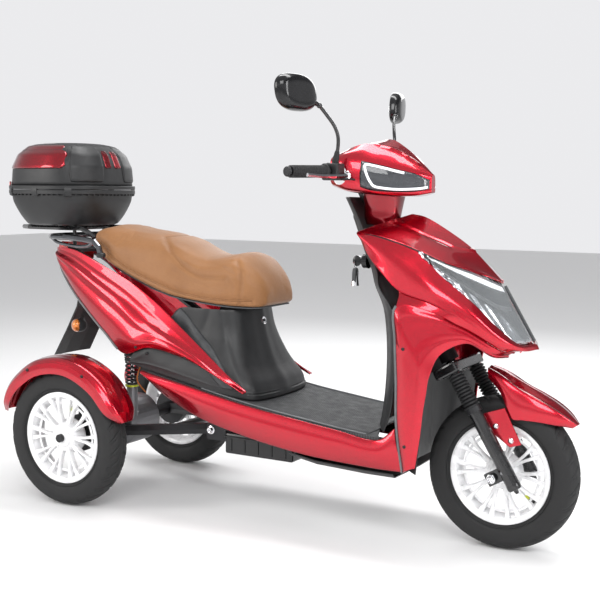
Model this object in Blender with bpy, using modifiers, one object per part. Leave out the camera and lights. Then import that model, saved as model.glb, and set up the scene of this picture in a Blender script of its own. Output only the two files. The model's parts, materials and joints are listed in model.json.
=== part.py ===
"""A three-wheeled electric mobility scooter: two rear wheels on a sprung swing arm, one steered front wheel.

Built in the chassis frame: +X forward, +Y left, +Z up, origin in the middle of the rear axle.
One parent empty lifts that frame to its wheel height and centres the whole scooter over the world origin.
Front parts are measured from the front axle, and fork parts along the raked steering axis.
"""

import math

import bmesh
import bpy
import numpy as np
from mathutils import Matrix, Vector

# Driving dimensions, in metres and radians
STANDARD_WHEELBASE = 1.287  # the size that the floor stations are given for
WHEELBASE = 1.287
TRACK = 0.594
TYRE_RADIUS = 0.2105
TYRE_HALF_WIDTH = 0.041
RIM_FLANGE_RADIUS = 0.141
RIM_HALF_WIDTH = 0.034
BEAD_RADIUS = 0.127
AXLE_RADIUS = 0.0085
RAKE = math.radians(31.0)
LEG_LEAD = 0.028  # fork leg centres in front of the steering axis
AXLE_TRAIL = 0.013  # front axle behind the steering axis
LEG_SPACING = 2 * (TYRE_HALF_WIDTH + 0.037)
LEG_RADIUS = 0.019
STANCHION_RADIUS = 0.0135
STEM_RADIUS = 0.014
BAR_RADIUS = 0.011
GRIP_RADIUS = 0.0165
GRIP_LENGTH = 0.125
FLOOR_HALF_WIDTH = 0.195
BOX_HALF_LENGTH = 0.185
BOX_HALF_WIDTH = 0.190
BOX_CENTRE_X = -0.232
BOX_FLOOR_Z = 0.636
BOX_RIM_Z = 0.752
BOX_TOP_Z = 0.903
SEAT_HALF_WIDTH = 0.142
PANEL = 0.003  # moulded cover thickness
FENDER_GAP = 0.034  # tyre tread to the crown of its mudguard
ARM_PIVOT_X = 0.41
ARM_PIVOT_Z = 0.034
SHOCK_X = 0.128

# Clearances
TOUCH = 0.0003  # between pieces that rest on each other
RUN = 0.0004  # radial, round a shaft that turns or slides

NOSE_TO_AXLE = TYRE_RADIUS
TAIL_TO_AXLE = BOX_HALF_LENGTH - BOX_CENTRE_X
CENTRE_X = (WHEELBASE + NOSE_TO_AXLE - TAIL_TO_AXLE) / 2

for old in list(bpy.data.objects):
    bpy.data.objects.remove(old, do_unlink=True)


def new_collection(name):
    made = bpy.data.collections.new(name)
    bpy.context.scene.collection.children.link(made)
    return made


PARTS = new_collection("mobility_scooter")
CUTTERS = new_collection("cutters")

chassis = bpy.data.objects.new("chassis_frame", None)
chassis.location = (-CENTRE_X, 0, TYRE_RADIUS)
PARTS.objects.link(chassis)

front = bpy.data.objects.new("front_axle_frame", None)
front.location = (WHEELBASE, 0, 0)
front.parent = chassis
PARTS.objects.link(front)

steering = bpy.data.objects.new("steering_axis_frame", None)
steering.location = (AXLE_TRAIL * math.cos(RAKE), 0, AXLE_TRAIL * math.sin(RAKE))
steering.rotation_euler = (0, -RAKE, 0)
steering.parent = front
PARTS.objects.link(steering)


def material(name, colour, roughness, metallic=0.0, coat=0.0):
    made = bpy.data.materials.new(name)
    made.use_nodes = True
    shader = made.node_tree.nodes["Principled BSDF"]
    shader.inputs["Base Color"].default_value = (*colour, 1)
    shader.inputs["Roughness"].default_value = roughness
    shader.inputs["Metallic"].default_value = metallic
    shader.inputs["Coat Weight"].default_value = coat
    made.diffuse_color = (*colour, 1)
    return made


RED = material("candy_red_paint", (0.42, 0.002, 0.012), 0.25, 0.35, 1.0)
BLACK = material("black_moulding", (0.02, 0.021, 0.022), 0.5)
MAT = material("floor_rubber", (0.045, 0.046, 0.048), 0.7)
LEATHER = material("tan_seat_cover", (0.33, 0.15, 0.05), 0.55)
RUBBER = material("tyre_rubber", (0.018, 0.018, 0.018), 0.75)
WHITE = material("white_rim_paint", (0.8, 0.8, 0.8), 0.35)
STEEL = material("black_painted_steel", (0.015, 0.015, 0.016), 0.4, 0.2)
CHROME = material("bright_steel", (0.62, 0.62, 0.63), 0.2, 1.0)
LENS = material("clear_lens", (0.75, 0.78, 0.8), 0.08)
TAIL_LENS = material("red_lens", (0.5, 0.02, 0.015), 0.12)
MIRROR = material("mirror_housing", (0.03, 0.03, 0.032), 0.35)
FOAM_PAN = material("seat_pan_plastic", (0.03, 0.03, 0.03), 0.6)
SPRING_STEEL = material("black_spring_steel", (0.02, 0.02, 0.02), 0.3, 0.6)
MOTOR = material("cast_alloy", (0.11, 0.11, 0.115), 0.45, 0.7)


def place(obj, finish, parent, cutter=False):
    (CUTTERS if cutter else PARTS).objects.link(obj)
    obj.parent = parent
    if cutter:
        obj.hide_render = True
        obj.display_type = "WIRE"
        return obj
    obj.data.materials.append(finish)
    return obj


def from_bmesh(name, bm, finish, parent, cutter=False, smooth=None):
    data = bpy.data.meshes.new(name)
    bm.to_mesh(data)
    bm.free()
    if smooth:
        data.shade_smooth()
        data.set_sharp_from_angle(angle=math.radians(smooth))
    return place(bpy.data.objects.new(name, data), finish, parent, cutter)


def bevel(obj, width, segments=2):
    made = obj.modifiers.new("edge_radius", "BEVEL")
    made.width = width
    made.segments = segments
    made.limit_method = "ANGLE"


def block(name, low, high, finish, parent=chassis, edge=0.0, cutter=False):
    """A box between two corners."""
    bm = bmesh.new()
    bmesh.ops.create_cube(bm, size=1)
    size = Vector(high) - Vector(low)
    bmesh.ops.scale(bm, vec=size, verts=bm.verts)
    middle = (Vector(high) + Vector(low)) / 2
    bmesh.ops.translate(bm, vec=middle, verts=bm.verts)
    made = from_bmesh(name, bm, finish, parent, cutter)
    if edge:
        bevel(made, edge)
    return made


def rod(name, start, end, radius, finish, parent=chassis, sides=16, cutter=False, end_radius=None):
    """A cylinder or cone between two points."""
    start, end = Vector(start), Vector(end)
    bm = bmesh.new()
    bmesh.ops.create_cone(
        bm,
        cap_ends=True,
        segments=sides,
        radius1=radius,
        radius2=radius if end_radius is None else end_radius,
        depth=(end - start).length,
    )
    turn = (end - start).to_track_quat("Z", "Y").to_matrix().to_4x4()
    bmesh.ops.transform(bm, matrix=Matrix.Translation((start + end) / 2) @ turn, verts=bm.verts)
    return from_bmesh(name, bm, finish, parent, cutter, smooth=40)


def turned(name, profile, finish, parent=chassis, location=(0, 0, 0), axis="y", sides=40, cutter=False):
    """A closed profile of (radius, height) points turned about an axis, outer side from top to bottom."""
    bm = bmesh.new()
    points = [bm.verts.new((radius, 0, height)) for radius, height in profile]
    for number, point in enumerate(points):
        bm.edges.new((point, points[(number + 1) % len(points)]))
    made = from_bmesh(name, bm, finish, parent, cutter)
    made.location = location
    if axis == "y":
        made.rotation_euler = (-math.pi / 2, 0, 0)
    screw = made.modifiers.new("turn", "SCREW")
    screw.steps = screw.render_steps = sides
    screw.use_merge_vertices = True
    screw.merge_threshold = 0.00001
    return made


def tube(name, points, radius, finish, parent=chassis, resolution=2, cutter=False):
    """A wire or tube along a list of points, as a curve with closed ends."""
    curve = bpy.data.curves.new(name, "CURVE")
    curve.dimensions = "3D"
    curve.bevel_depth = radius
    curve.bevel_resolution = resolution
    curve.use_fill_caps = True
    spline = curve.splines.new("POLY")
    spline.points.add(len(points) - 1)
    for place_of, point in zip(spline.points, points):
        place_of.co = (*point, 1)
    return place(bpy.data.objects.new(name, curve), finish, parent, cutter)


def as_mesh(obj):
    """The same solid as a mesh, so that it can be cut or joined."""
    graph = bpy.context.evaluated_depsgraph_get()
    data = bpy.data.meshes.new_from_object(obj.evaluated_get(graph))
    bm = bmesh.new()
    bm.from_mesh(data)
    bmesh.ops.remove_doubles(bm, verts=bm.verts, dist=0.00001)
    bmesh.ops.recalc_face_normals(bm, faces=bm.faces)
    bm.to_mesh(data)
    bm.free()
    made = bpy.data.objects.new(obj.name + "_solid", data)
    for collection in obj.users_collection:
        collection.objects.link(made)
    made.parent = obj.parent
    made.matrix_local = obj.matrix_local
    made.hide_render = obj.hide_render
    made.display_type = obj.display_type
    name = obj.name
    bpy.data.objects.remove(obj, do_unlink=True)
    made.name = name
    return made


def combine(target, other, operation):
    if other.name not in CUTTERS.objects:
        raise ValueError(other.name + " is not a cutter")
    made = target.modifiers.new(operation.lower() + "_" + other.name, "BOOLEAN")
    made.operation = operation
    made.solver = "EXACT"
    made.object = other
    return target


def cut(target, *others):
    for other in others:
        combine(target, other, "DIFFERENCE")
    return target


def join(target, *others):
    for other in others:
        combine(target, other, "UNION")
    return target


def smooth_line(points, count):
    """Evenly numbered points on a Catmull-Rom curve through the given points."""
    points = np.array(points, float)
    padded = np.vstack([2 * points[0] - points[1], points, 2 * points[-1] - points[-2]])
    steps = np.linspace(0, len(points) - 1, count)
    line = []
    for step in steps:
        part = min(int(step), len(points) - 2)
        t = step - part
        a, b, c, d = padded[part : part + 4]
        line.append(
            0.5 * (2 * b + (c - a) * t + (2 * a - 5 * b + 4 * c - d) * t**2 + (3 * b - a - 3 * c + d) * t**3)
        )
    return np.array(line)


def grid_into(bm, rows, flip=False):
    """Adds quads between rows of points, seen from outside with rows left to right when not flipped."""
    verts = [[bm.verts.new(tuple(map(float, point))) for point in row] for row in rows]
    for low, high in zip(verts, verts[1:]):
        for i in range(len(low) - 1):
            face = (low[i], low[i + 1], high[i + 1], high[i])
            bm.faces.new(tuple(reversed(face)) if flip else face)


def shell(name, grids, finish, parent=chassis, thickness=PANEL, cutter=False, outward=None):
    """An open surface of one or more grids, given a wall on its inner side."""
    bm = bmesh.new()
    for rows in grids:
        grid_into(bm, rows)
    bmesh.ops.remove_doubles(bm, verts=bm.verts, dist=0.0002)
    bmesh.ops.recalc_face_normals(bm, faces=bm.faces)
    if outward is not None:
        centre = Vector(outward)
        facing = sum((f.normal.dot(f.calc_center_median() - centre) * f.calc_area() for f in bm.faces), 0.0)
        if facing < 0:
            bmesh.ops.reverse_faces(bm, faces=bm.faces)
    made = from_bmesh(name, bm, finish, parent, cutter, smooth=35)
    wall = made.modifiers.new("wall", "SOLIDIFY")
    wall.thickness = thickness
    wall.offset = -1
    return made


def closed_loft(name, sections, finish, parent=chassis, cutter=False, smooth=45):
    """A solid through closed loops of points, with flat ends."""
    bm = bmesh.new()
    loops = [[bm.verts.new(tuple(map(float, point))) for point in section] for section in sections]
    for low, high in zip(loops, loops[1:]):
        for i in range(len(low)):
            j = (i + 1) % len(low)
            bm.faces.new((low[i], low[j], high[j], high[i]))
    bm.faces.new(list(reversed(loops[0])))
    bm.faces.new(loops[-1])
    bmesh.ops.recalc_face_normals(bm, faces=bm.faces)
    return from_bmesh(name, bm, finish, parent, cutter, smooth=smooth)


def mirrored(rows):
    return [[(x, -y, z) for x, y, z in row] for row in rows]


def side_name(side):
    return "right" if side < 0 else "left"


# Wheels: tyre on a cast rim, turned about the axle


def wheel(name, centre, parent, bore):
    """A rim with a web, hub and bead seats, and the tyre that sits on it."""
    half, flange = RIM_HALF_WIDTH, RIM_FLANGE_RADIUS
    barrel = BEAD_RADIUS - 0.006
    hub = 0.036
    web = 0.005
    rim = [
        (bore, half),
        (hub, half),
        (hub + 0.004, web),
        (barrel - 0.004, web),
        (barrel - 0.002, half),
        (flange, half),
        (flange, half - 0.006),
        (BEAD_RADIUS - TOUCH, half - 0.006),
    ]
    lower = [(radius, -height) for radius, height in reversed(rim)]
    turned(name + "_rim", rim + lower, WHITE, parent, centre, sides=28)
    bead = half - 0.006 - TOUCH
    wall = 0.007
    outer = [
        (BEAD_RADIUS, bead - wall),
        (BEAD_RADIUS, bead),
        (flange + 0.001, bead),
        (flange + 0.024, TYRE_HALF_WIDTH),
        (TYRE_RADIUS - 0.016, TYRE_HALF_WIDTH - 0.001),
    ]
    inner = [(TYRE_RADIUS - 0.012, TYRE_HALF_WIDTH * 0.55)]
    profile = outer + [(TYRE_RADIUS, 0)]
    profile += [(radius, -height) for radius, height in reversed(outer)]
    profile += [(radius, -height) for radius, height in reversed(inner)]
    profile += inner
    turned(name + "_tyre", profile, RUBBER, parent, centre, sides=28)


FRONT_BORE = AXLE_RADIUS + RUN
wheel("front", (0, 0, 0), front, FRONT_BORE)
HALF_TRACK = TRACK / 2
STUB_RADIUS = 0.0125
for side in (-1, 1):
    wheel("rear_" + side_name(side), (0, side * HALF_TRACK, 0), chassis, STUB_RADIUS + RUN)


# Fork: legs that slide on the stanchions, axle and front mudguard

HALF_LEGS = LEG_SPACING / 2
LEG_LOW = -0.050
LEG_TOP = 0.190
LEG_BORE_LOW = 0.040
STANCHION_LOW = 0.100
YOKE_LOW = 0.292
YOKE_HIGH = 0.322
STEM_TOP = 0.895
HEAD_LOW = YOKE_HIGH + 0.010
HEAD_HIGH = 0.560
for side in (-1, 1):
    y = side * HALF_LEGS
    leg = rod("fork_leg_" + side_name(side), (LEG_LEAD, y, LEG_LOW), (LEG_LEAD, y, LEG_TOP), LEG_RADIUS,
              STEEL, steering, sides=20)
    lug = block("lug_" + side_name(side), (-AXLE_TRAIL - 0.018, y - 0.008, -0.018),
                (LEG_LEAD, y + 0.008, 0.018), None, steering, cutter=True)
    join(leg, lug)
    bore = rod("leg_bore_" + side_name(side), (LEG_LEAD, y, LEG_BORE_LOW), (LEG_LEAD, y, LEG_TOP + 0.01),
               STANCHION_RADIUS + RUN, None, steering, sides=20, cutter=True)
    hole = rod("axle_hole_" + side_name(side), (-AXLE_TRAIL, y - 0.02, 0), (-AXLE_TRAIL, y + 0.02, 0),
               AXLE_RADIUS + TOUCH, None, steering, cutter=True)
    cut(leg, bore, hole)
rod("front_axle", (-AXLE_TRAIL, -HALF_LEGS - 0.018, 0), (-AXLE_TRAIL, HALF_LEGS + 0.018, 0),
           AXLE_RADIUS, CHROME, steering)

stem = rod("steering_stem", (0, 0, YOKE_LOW + 0.005), (0, 0, STEM_TOP), STEM_RADIUS, STEEL, steering)
yoke = block("yoke", (-0.022, -HALF_LEGS - 0.024, YOKE_LOW), (LEG_LEAD + 0.022, HALF_LEGS + 0.024, YOKE_HIGH),
             None, steering, edge=0.006, cutter=True)
join(stem, yoke)
for side in (-1, 1):
    y = side * HALF_LEGS
    stanchion = rod("stanchion_" + side_name(side), (LEG_LEAD, y, STANCHION_LOW),
                    (LEG_LEAD, y, YOKE_HIGH - 0.004), STANCHION_RADIUS, None, steering, sides=20, cutter=True)
    join(stem, stanchion)

# Front mudguard: a channel over the tyre, from a raised tail to a pointed tip
CROWN = TYRE_RADIUS + FENDER_GAP
FENDER_RISE = ((98, 0.046), (88, 0.024), (78, 0.006), (66, 0.0), (54, 0.002), (45, 0.006), (37, 0.010))
FENDER_WIDTH = [TYRE_HALF_WIDTH + beyond for beyond in (-0.007, 0.007, 0.013, 0.015, 0.011, -0.001, -0.027)]
FENDER_DROP = (0.030, 0.052, 0.085, 0.070, 0.052, 0.036, 0.016)
rows = []
for (angle, rise), width, drop in zip(FENDER_RISE, FENDER_WIDTH, FENDER_DROP):
    direction = (math.cos(math.radians(angle)), math.sin(math.radians(angle)))
    row = []
    for across, down in ((-1, 1), (-1.02, 0.45), (-0.86, 0.12), (-0.45, 0), (0, -0.06), (0.45, 0),
                         (0.86, 0.12), (1.02, 0.45), (1, 1)):
        reach = CROWN + rise - down * drop
        row.append((direction[0] * reach, across * width, direction[1] * reach))
    rows.append(row)
shell("front_fender", [rows], RED, front, outward=(0, 0, 0))


# Rear axle, drive motor and swing arm

ARM_END_Y = HALF_TRACK - RIM_HALF_WIDTH - 0.028
PIVOT_Y = 0.09
ARM_TUBE = 0.018
motor_profile = [(0.066, 0.075), (0.078, 0.060), (0.078, -0.060), (0.066, -0.075), (0.024, -0.080),
                 (0.024, 0.080)]
turned("drive_motor", motor_profile, MOTOR, chassis, (0, 0, 0), sides=32)
arm = rod("swing_arm", (0, -ARM_END_Y, 0), (0, ARM_END_Y, 0), 0.0215, STEEL, chassis, sides=20)
for side in (-1, 1):
    tag = side_name(side)
    end = Vector((0, side * (ARM_END_Y - 0.02), 0))
    pivot = Vector((ARM_PIVOT_X, side * PIVOT_Y, ARM_PIVOT_Z))
    beam = as_mesh(tube("beam_" + tag, [end, end.lerp(pivot, 0.96)], ARM_TUBE, None, chassis, 1, cutter=True))
    eye = rod("pivot_eye_" + tag, pivot - Vector((0, 0.02, 0)), pivot + Vector((0, 0.02, 0)), 0.024, None,
              chassis, cutter=True)
    stub = rod("axle_stub_" + tag, (0, side * (ARM_END_Y - 0.01), 0),
               (0, side * (HALF_TRACK + RIM_HALF_WIDTH + 0.010), 0), STUB_RADIUS, None, chassis, cutter=True)
    drum = rod("brake_drum_" + tag, (0, side * (ARM_END_Y - 0.012), 0), (0, side * (ARM_END_Y + 0.012), 0),
               0.058, None, chassis, sides=24, cutter=True)
    join(arm, beam, eye, stub, drum)
crossbar = rod("arm_crossbar", (ARM_PIVOT_X - 0.14, -0.14, ARM_PIVOT_Z * 0.66),
               (ARM_PIVOT_X - 0.14, 0.14, ARM_PIVOT_Z * 0.66), 0.012, None, chassis, cutter=True)
join(arm, crossbar)


def arm_y(x):
    """Where the middle of a swing arm beam lies across the scooter, at x."""
    share = x / ARM_PIVOT_X
    return (ARM_END_Y - 0.02) * (1 - share) + PIVOT_Y * share


def arm_z(x):
    return ARM_PIVOT_Z * x / ARM_PIVOT_X


SHOCK_Y = arm_y(SHOCK_X) - 0.030
SHOCK_EYE_Z = arm_z(SHOCK_X) + 0.052
SHOCK_TOP_Z = SHOCK_EYE_Z + 0.185
for side in (-1, 1):
    tag = side_name(side)
    y = side * SHOCK_Y
    near, far = y + side * 0.019, y + side * 0.027
    ear = block("shock_ear_" + tag, (SHOCK_X - 0.012, min(near, far), arm_z(SHOCK_X)),
                (SHOCK_X + 0.012, max(near, far), SHOCK_EYE_Z + 0.012), None, chassis, cutter=True)
    peg = rod("shock_peg_" + tag, (SHOCK_X, y - side * 0.018, SHOCK_EYE_Z), (SHOCK_X, y + side * 0.021, SHOCK_EYE_Z),
              0.005, None, chassis, cutter=True)
    join(arm, ear, peg)
    damper = rod("shock_damper_" + tag, (SHOCK_X, y, SHOCK_EYE_Z - 0.012), (SHOCK_X, y, SHOCK_EYE_Z + 0.088),
                 0.017, MOTOR, chassis, sides=20)
    damper_bore = rod("damper_bore_" + tag, (SHOCK_X, y, SHOCK_EYE_Z + 0.022), (SHOCK_X, y, SHOCK_EYE_Z + 0.10),
                      0.0135, None, chassis, sides=20, cutter=True)
    eye_hole = rod("damper_eye_" + tag, (SHOCK_X, y - 0.03, SHOCK_EYE_Z), (SHOCK_X, y + 0.03, SHOCK_EYE_Z),
                   0.005 + RUN, None, chassis, cutter=True)
    cut(damper, damper_bore, eye_hole)
    rod_piece = rod("shock_rod_" + tag, (SHOCK_X, y, SHOCK_EYE_Z + 0.060), (SHOCK_X, y, SHOCK_TOP_Z), 0.006, CHROME,
                    chassis)
    cap = rod("shock_cap_" + tag, (SHOCK_X, y, SHOCK_TOP_Z - 0.014), (SHOCK_X, y, SHOCK_TOP_Z + 0.010), 0.022, None,
              chassis, sides=20, cutter=True)
    join(rod_piece, cap)
    coil_low = SHOCK_EYE_Z + 0.088 + TOUCH + 0.003
    coil_high = SHOCK_TOP_Z - 0.014 - TOUCH - 0.003
    turns = 5
    coil = []
    for step in range(turns * 7 + 1):
        angle = step / 7 * 2 * math.pi
        coil.append((SHOCK_X + 0.0190 * math.cos(angle), y + side * 0.0190 * math.sin(angle),
                     coil_low + (coil_high - coil_low) * step / (turns * 7)))
    tube("shock_spring_" + tag, coil, 0.0028, SPRING_STEEL, chassis, resolution=1)

for side in (-1, 1):
    tag = side_name(side)
    rows = []
    for angle, beyond, drop in ((18, -0.011, 0.020), (26, 0.011, 0.040), (50, 0.017, 0.048), (80, 0.019, 0.050),
                                (110, 0.019, 0.050), (140, 0.015, 0.044), (158, 0.005, 0.034), (166, -0.015, 0.018)):
        width = TYRE_HALF_WIDTH + beyond
        direction = (math.cos(math.radians(angle)), math.sin(math.radians(angle)))
        row = []
        for across, down in ((-1, 1), (-1, 0.42), (-0.72, 0.08), (0, -0.04), (0.72, 0.08), (1, 0.42), (1, 1)):
            reach = CROWN + 0.006 - down * drop
            row.append((direction[0] * reach, side * HALF_TRACK + across * width, direction[1] * reach))
        rows.append(row)
    shell("rear_fender_" + tag, [rows], RED, chassis, outward=(0, side * HALF_TRACK, 0))
    stay_in = side * (ARM_END_Y - 0.008)
    stay_out = side * (HALF_TRACK - TYRE_HALF_WIDTH - 0.019 - TOUCH)
    stay = block("fender_stay_" + tag, (-0.012, min(stay_in, stay_out), 0.030),
                 (0.012, max(stay_in, stay_out), CROWN - 0.014), None, chassis, cutter=True)
    join(arm, stay)


# Main frame: head tube, down tube, floor rails, seat rails and tail

RAIL_Y = 0.120
RAIL_Z = 0.052
RAIL_RADIUS = 0.013
HEAD_RADIUS = 0.026


def on_steering(along, ahead=0.0, y=0.0):
    """A point in the chassis frame from its place along and ahead of the steering axis."""
    origin = Vector((WHEELBASE + AXLE_TRAIL * math.cos(RAKE), 0, AXLE_TRAIL * math.sin(RAKE)))
    up = Vector((-math.sin(RAKE), 0, math.cos(RAKE)))
    forward = Vector((math.cos(RAKE), 0, math.sin(RAKE)))
    return origin + up * along + forward * ahead + Vector((0, y, 0))


F = WHEELBASE
head = rod("head_tube", on_steering(HEAD_LOW), on_steering(HEAD_HIGH), HEAD_RADIUS, None, chassis, sides=20,
           cutter=True)
down_top = on_steering((HEAD_LOW + HEAD_HIGH) / 2)
front_x = F - 0.312
pipes = [
    ("down_tube", [down_top, (F - 0.262, 0, 0.27), (F - 0.276, 0, 0.12), (front_x, 0, RAIL_Z)], 0.019),
    ("front_cross", [(front_x, -RAIL_Y, RAIL_Z), (front_x, RAIL_Y, RAIL_Z)], 0.015),
    ("pivot_cross", [(ARM_PIVOT_X + 0.050, -RAIL_Y - 0.02, RAIL_Z), (ARM_PIVOT_X + 0.050, RAIL_Y + 0.02, RAIL_Z)],
     0.015),
    ("seat_cross", [(0.24, -0.105, 0.345), (0.24, 0.105, 0.345)], 0.011),
    ("tail_cross", [(-0.170, -0.078, 0.556), (-0.170, 0.078, 0.556)], 0.010),
    ("shock_cross", [(SHOCK_X + 0.002, -SHOCK_Y, SHOCK_TOP_Z + 0.024),
                     (SHOCK_X + 0.002, SHOCK_Y, SHOCK_TOP_Z + 0.024)], 0.0125),
]
for side in (-1, 1):
    y = side * RAIL_Y
    pipes.append(("shock_strut_" + side_name(side), [(SHOCK_X, side * 0.100, SHOCK_TOP_Z + 0.024),
                                                     (0.285, side * 0.106, SHOCK_TOP_Z + 0.024)], 0.010))
    pipes.append(("floor_rail_" + side_name(side), [
        (front_x - 0.006, y, RAIL_Z), (ARM_PIVOT_X + 0.045, y, RAIL_Z), (0.34, y * 0.96, 0.150),
        (0.24, side * 0.100, 0.345), (0.06, side * 0.088, 0.455), (-0.18, side * 0.078, 0.560)], RAIL_RADIUS))
frame = rod("main_frame", (front_x, 0, RAIL_Z), (front_x, 0.06, RAIL_Z), 0.012, STEEL, chassis)
pieces = [head]
for name, points, radius in pipes:
    pieces.append(as_mesh(tube(name, points, radius, None, chassis, 1, cutter=True)))
for side in (-1, 1):
    tag = side_name(side)
    for offset in (-1, 1):
        y = side * PIVOT_Y + offset * 0.0285
        plate = block("pivot_plate_" + tag + ("_in" if side * offset < 0 else "_out"),
                      (ARM_PIVOT_X - 0.016, y - 0.003, ARM_PIVOT_Z - 0.030),
                      (ARM_PIVOT_X + 0.052, y + 0.003, RAIL_Z), None, chassis, cutter=True)
        pieces.append(plate)
    pieces.append(rod("pivot_pin_" + tag, (ARM_PIVOT_X, side * PIVOT_Y - 0.029, ARM_PIVOT_Z),
                      (ARM_PIVOT_X, side * PIVOT_Y + 0.029, ARM_PIVOT_Z), 0.0085, None, chassis, cutter=True))
    pieces.append(rod("shock_hanger_" + tag, (SHOCK_X, side * SHOCK_Y, SHOCK_TOP_Z + 0.010 + TOUCH),
                      (SHOCK_X, side * SHOCK_Y, SHOCK_TOP_Z + 0.030), 0.014, None, chassis, cutter=True))
join(frame, *pieces)
head_bore = rod("head_bore", on_steering(HEAD_LOW - 0.01), on_steering(HEAD_HIGH + 0.01), STEM_RADIUS + RUN, None,
                chassis, sides=20, cutter=True)
cut(frame, head_bore)
for side in (-1, 1):
    pivot = Vector((ARM_PIVOT_X, side * PIVOT_Y, ARM_PIVOT_Z))
    eye_bore = rod("pivot_bore_" + side_name(side), pivot - Vector((0, 0.04, 0)), pivot + Vector((0, 0.04, 0)),
                   0.0085 + RUN, None, chassis, cutter=True)
    cut(arm, eye_bore)

BATTERY_TOP = RAIL_Z - RAIL_RADIUS - TOUCH
block("battery_case", (ARM_PIVOT_X + 0.068, -0.150, BATTERY_TOP - 0.062), (ARM_PIVOT_X + 0.300, 0.150, BATTERY_TOP),
      BLACK, chassis, edge=0.006)


# Floor, sills and belly cover

FLOOR_TOP = ((0.225, 0.205), (0.35, 0.183), (0.47, 0.160), (0.60, 0.138), (0.76, 0.118), (0.88, 0.104))
FLOOR_FRONT_X = F - 0.340
FLOOR_FRONT_Z = 0.096
FLOOR_THICK = 0.008
TOE_SWEEP = 0.060


FOOTWELL_X = 0.62
FOOTWELL_LENGTH = 0.327  # as far as the toes, at the standard wheelbase


def stretch(x):
    """Moves a floor station with the wheelbase: the pedestal's end stays put and the footwell takes up the change."""
    share = min(1.0, max(0.0, (x - FOOTWELL_X) / FOOTWELL_LENGTH))
    return x + (F - STANDARD_WHEELBASE) * share


floor_line = [(stretch(x), z) for x, z in FLOOR_TOP] + [(FLOOR_FRONT_X, FLOOR_FRONT_Z)]
rows = []
for number, (x, z) in enumerate(floor_line):
    row = []
    for across in (-1, -0.8, -0.45, 0, 0.45, 0.8, 1):
        toe = TOE_SWEEP * abs(across) ** 2.2 if number == len(floor_line) - 1 else 0
        row.append((x + toe, across * FLOOR_HALF_WIDTH, z))
    rows.append(row)
floorboard = shell("floorboard", [rows], MAT, chassis, thickness=FLOOR_THICK, outward=(0.5, 0, -2))
NOTCH_HALF_WIDTH = 0.150
cut(floorboard, block("rail_notch", (0.1, -NOTCH_HALF_WIDTH, 0.1), (0.40, NOTCH_HALF_WIDTH, 0.3), None, chassis,
                      cutter=True))

SILL_TOP = ((0.205, 0.208), (0.24, 0.200), (0.35, 0.181), (0.47, 0.158), (0.60, 0.136), (0.76, 0.116), (0.88, 0.102),
            (1.000, 0.090), (1.052, 0.128))
SILL_LOW = ((0.215, 0.190), (0.245, 0.163), (0.30, 0.130), (0.42, 0.081), (0.60, 0.042), (0.78, 0.018), (0.92, 0.011),
            (1.010, 0.009), (1.078, 0.010))
SILL_IN = FLOOR_HALF_WIDTH + 0.0006
rows = []
for (top_x, top_z), (low_x, low_z) in zip(SILL_TOP, SILL_LOW):
    top_x, low_x = stretch(top_x), stretch(low_x)
    lip = (top_x, -SILL_IN - PANEL - 0.001, top_z)
    bulge = (0.6 * top_x + 0.4 * low_x, -SILL_IN - PANEL - 0.008, 0.6 * top_z + 0.4 * low_z)
    low = (low_x, -SILL_IN - PANEL + 0.010, low_z)
    rows.append([lip, bulge, low])
shell("side_skirt_right", [rows], RED, chassis, outward=(0.6, 0, 0.1))
shell("side_skirt_left", [mirrored(rows)], RED, chassis, outward=(0.6, 0, 0.1))

rows = []
for x, z in ((0.715, 0.004), (0.80, -0.010), (0.95, -0.016), (1.040, -0.016)):
    x = stretch(x)
    rows.append([(x, y, z + lift) for y, lift in ((-0.182, 0.012), (-0.165, 0.0), (0, -0.004), (0.165, 0.0),
                                                    (0.182, 0.012))])
shell("under_tray", [rows], BLACK, chassis, outward=(0.9, 0, 0.2))


# Pedestal cover: the black moulding under the seat, with a wing along each side under the red panel

PEDESTAL = (
    # along the side from the rear: x, y, low z, top z
    (0.150, 0.185, 0.222, 0.240),
    (0.215, 0.186, 0.211, 0.268),
    (0.290, 0.187, 0.198, 0.300),
    (0.380, 0.187, 0.181, 0.300),
    (0.470, 0.186, 0.164, 0.300),
    (0.530, 0.176, 0.154, 0.290),
    (0.580, 0.156, 0.149, 0.270),
    (0.598, 0.086, 0.146, 0.260),
    (0.602, 0.000, 0.145, 0.260),
)
COLUMN_TOP = ((0.262, 0.128), (0.285, 0.1285), (0.315, 0.129), (0.36, 0.129), (0.41, 0.128), (0.452, 0.124),
              (0.487, 0.104), (0.508, 0.055), (0.514, 0.0))
COLUMN_TOP_Z = 0.402
half = []
for (x, y, low, high), (top_x, top_y) in zip(PEDESTAL, COLUMN_TOP):
    middle_x = x + (top_x - x) * 0.5
    middle_y = y + (top_y - y) * 0.42
    if x < 0.28:
        half.append([(x, -y, low), (x, -y * 0.994, (low + high) / 2), (x, -y * 0.978, high),
                     (top_x * 0.4 + x * 0.6, -(top_y * 0.4 + y * 0.6), 0.31),
                     (top_x, -top_y, 0.350 + 0.6 * (x - 0.15))])
    else:
        half.append([(x, -y, low), (x - 0.004, -y * 0.989, low + 0.035),
                     (middle_x, -middle_y, (low + high) / 2 + 0.04),
                     (top_x + (x - top_x) * 0.15, -(top_y + (y - top_y) * 0.15), 0.33),
                     (top_x, -top_y, COLUMN_TOP_Z)])
other = mirrored(half)
shell("pedestal_cover", [half, other], BLACK, chassis, outward=(0.35, 0, 0.25))


# Red side panels, from the tail down to a point over the footboard

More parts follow.
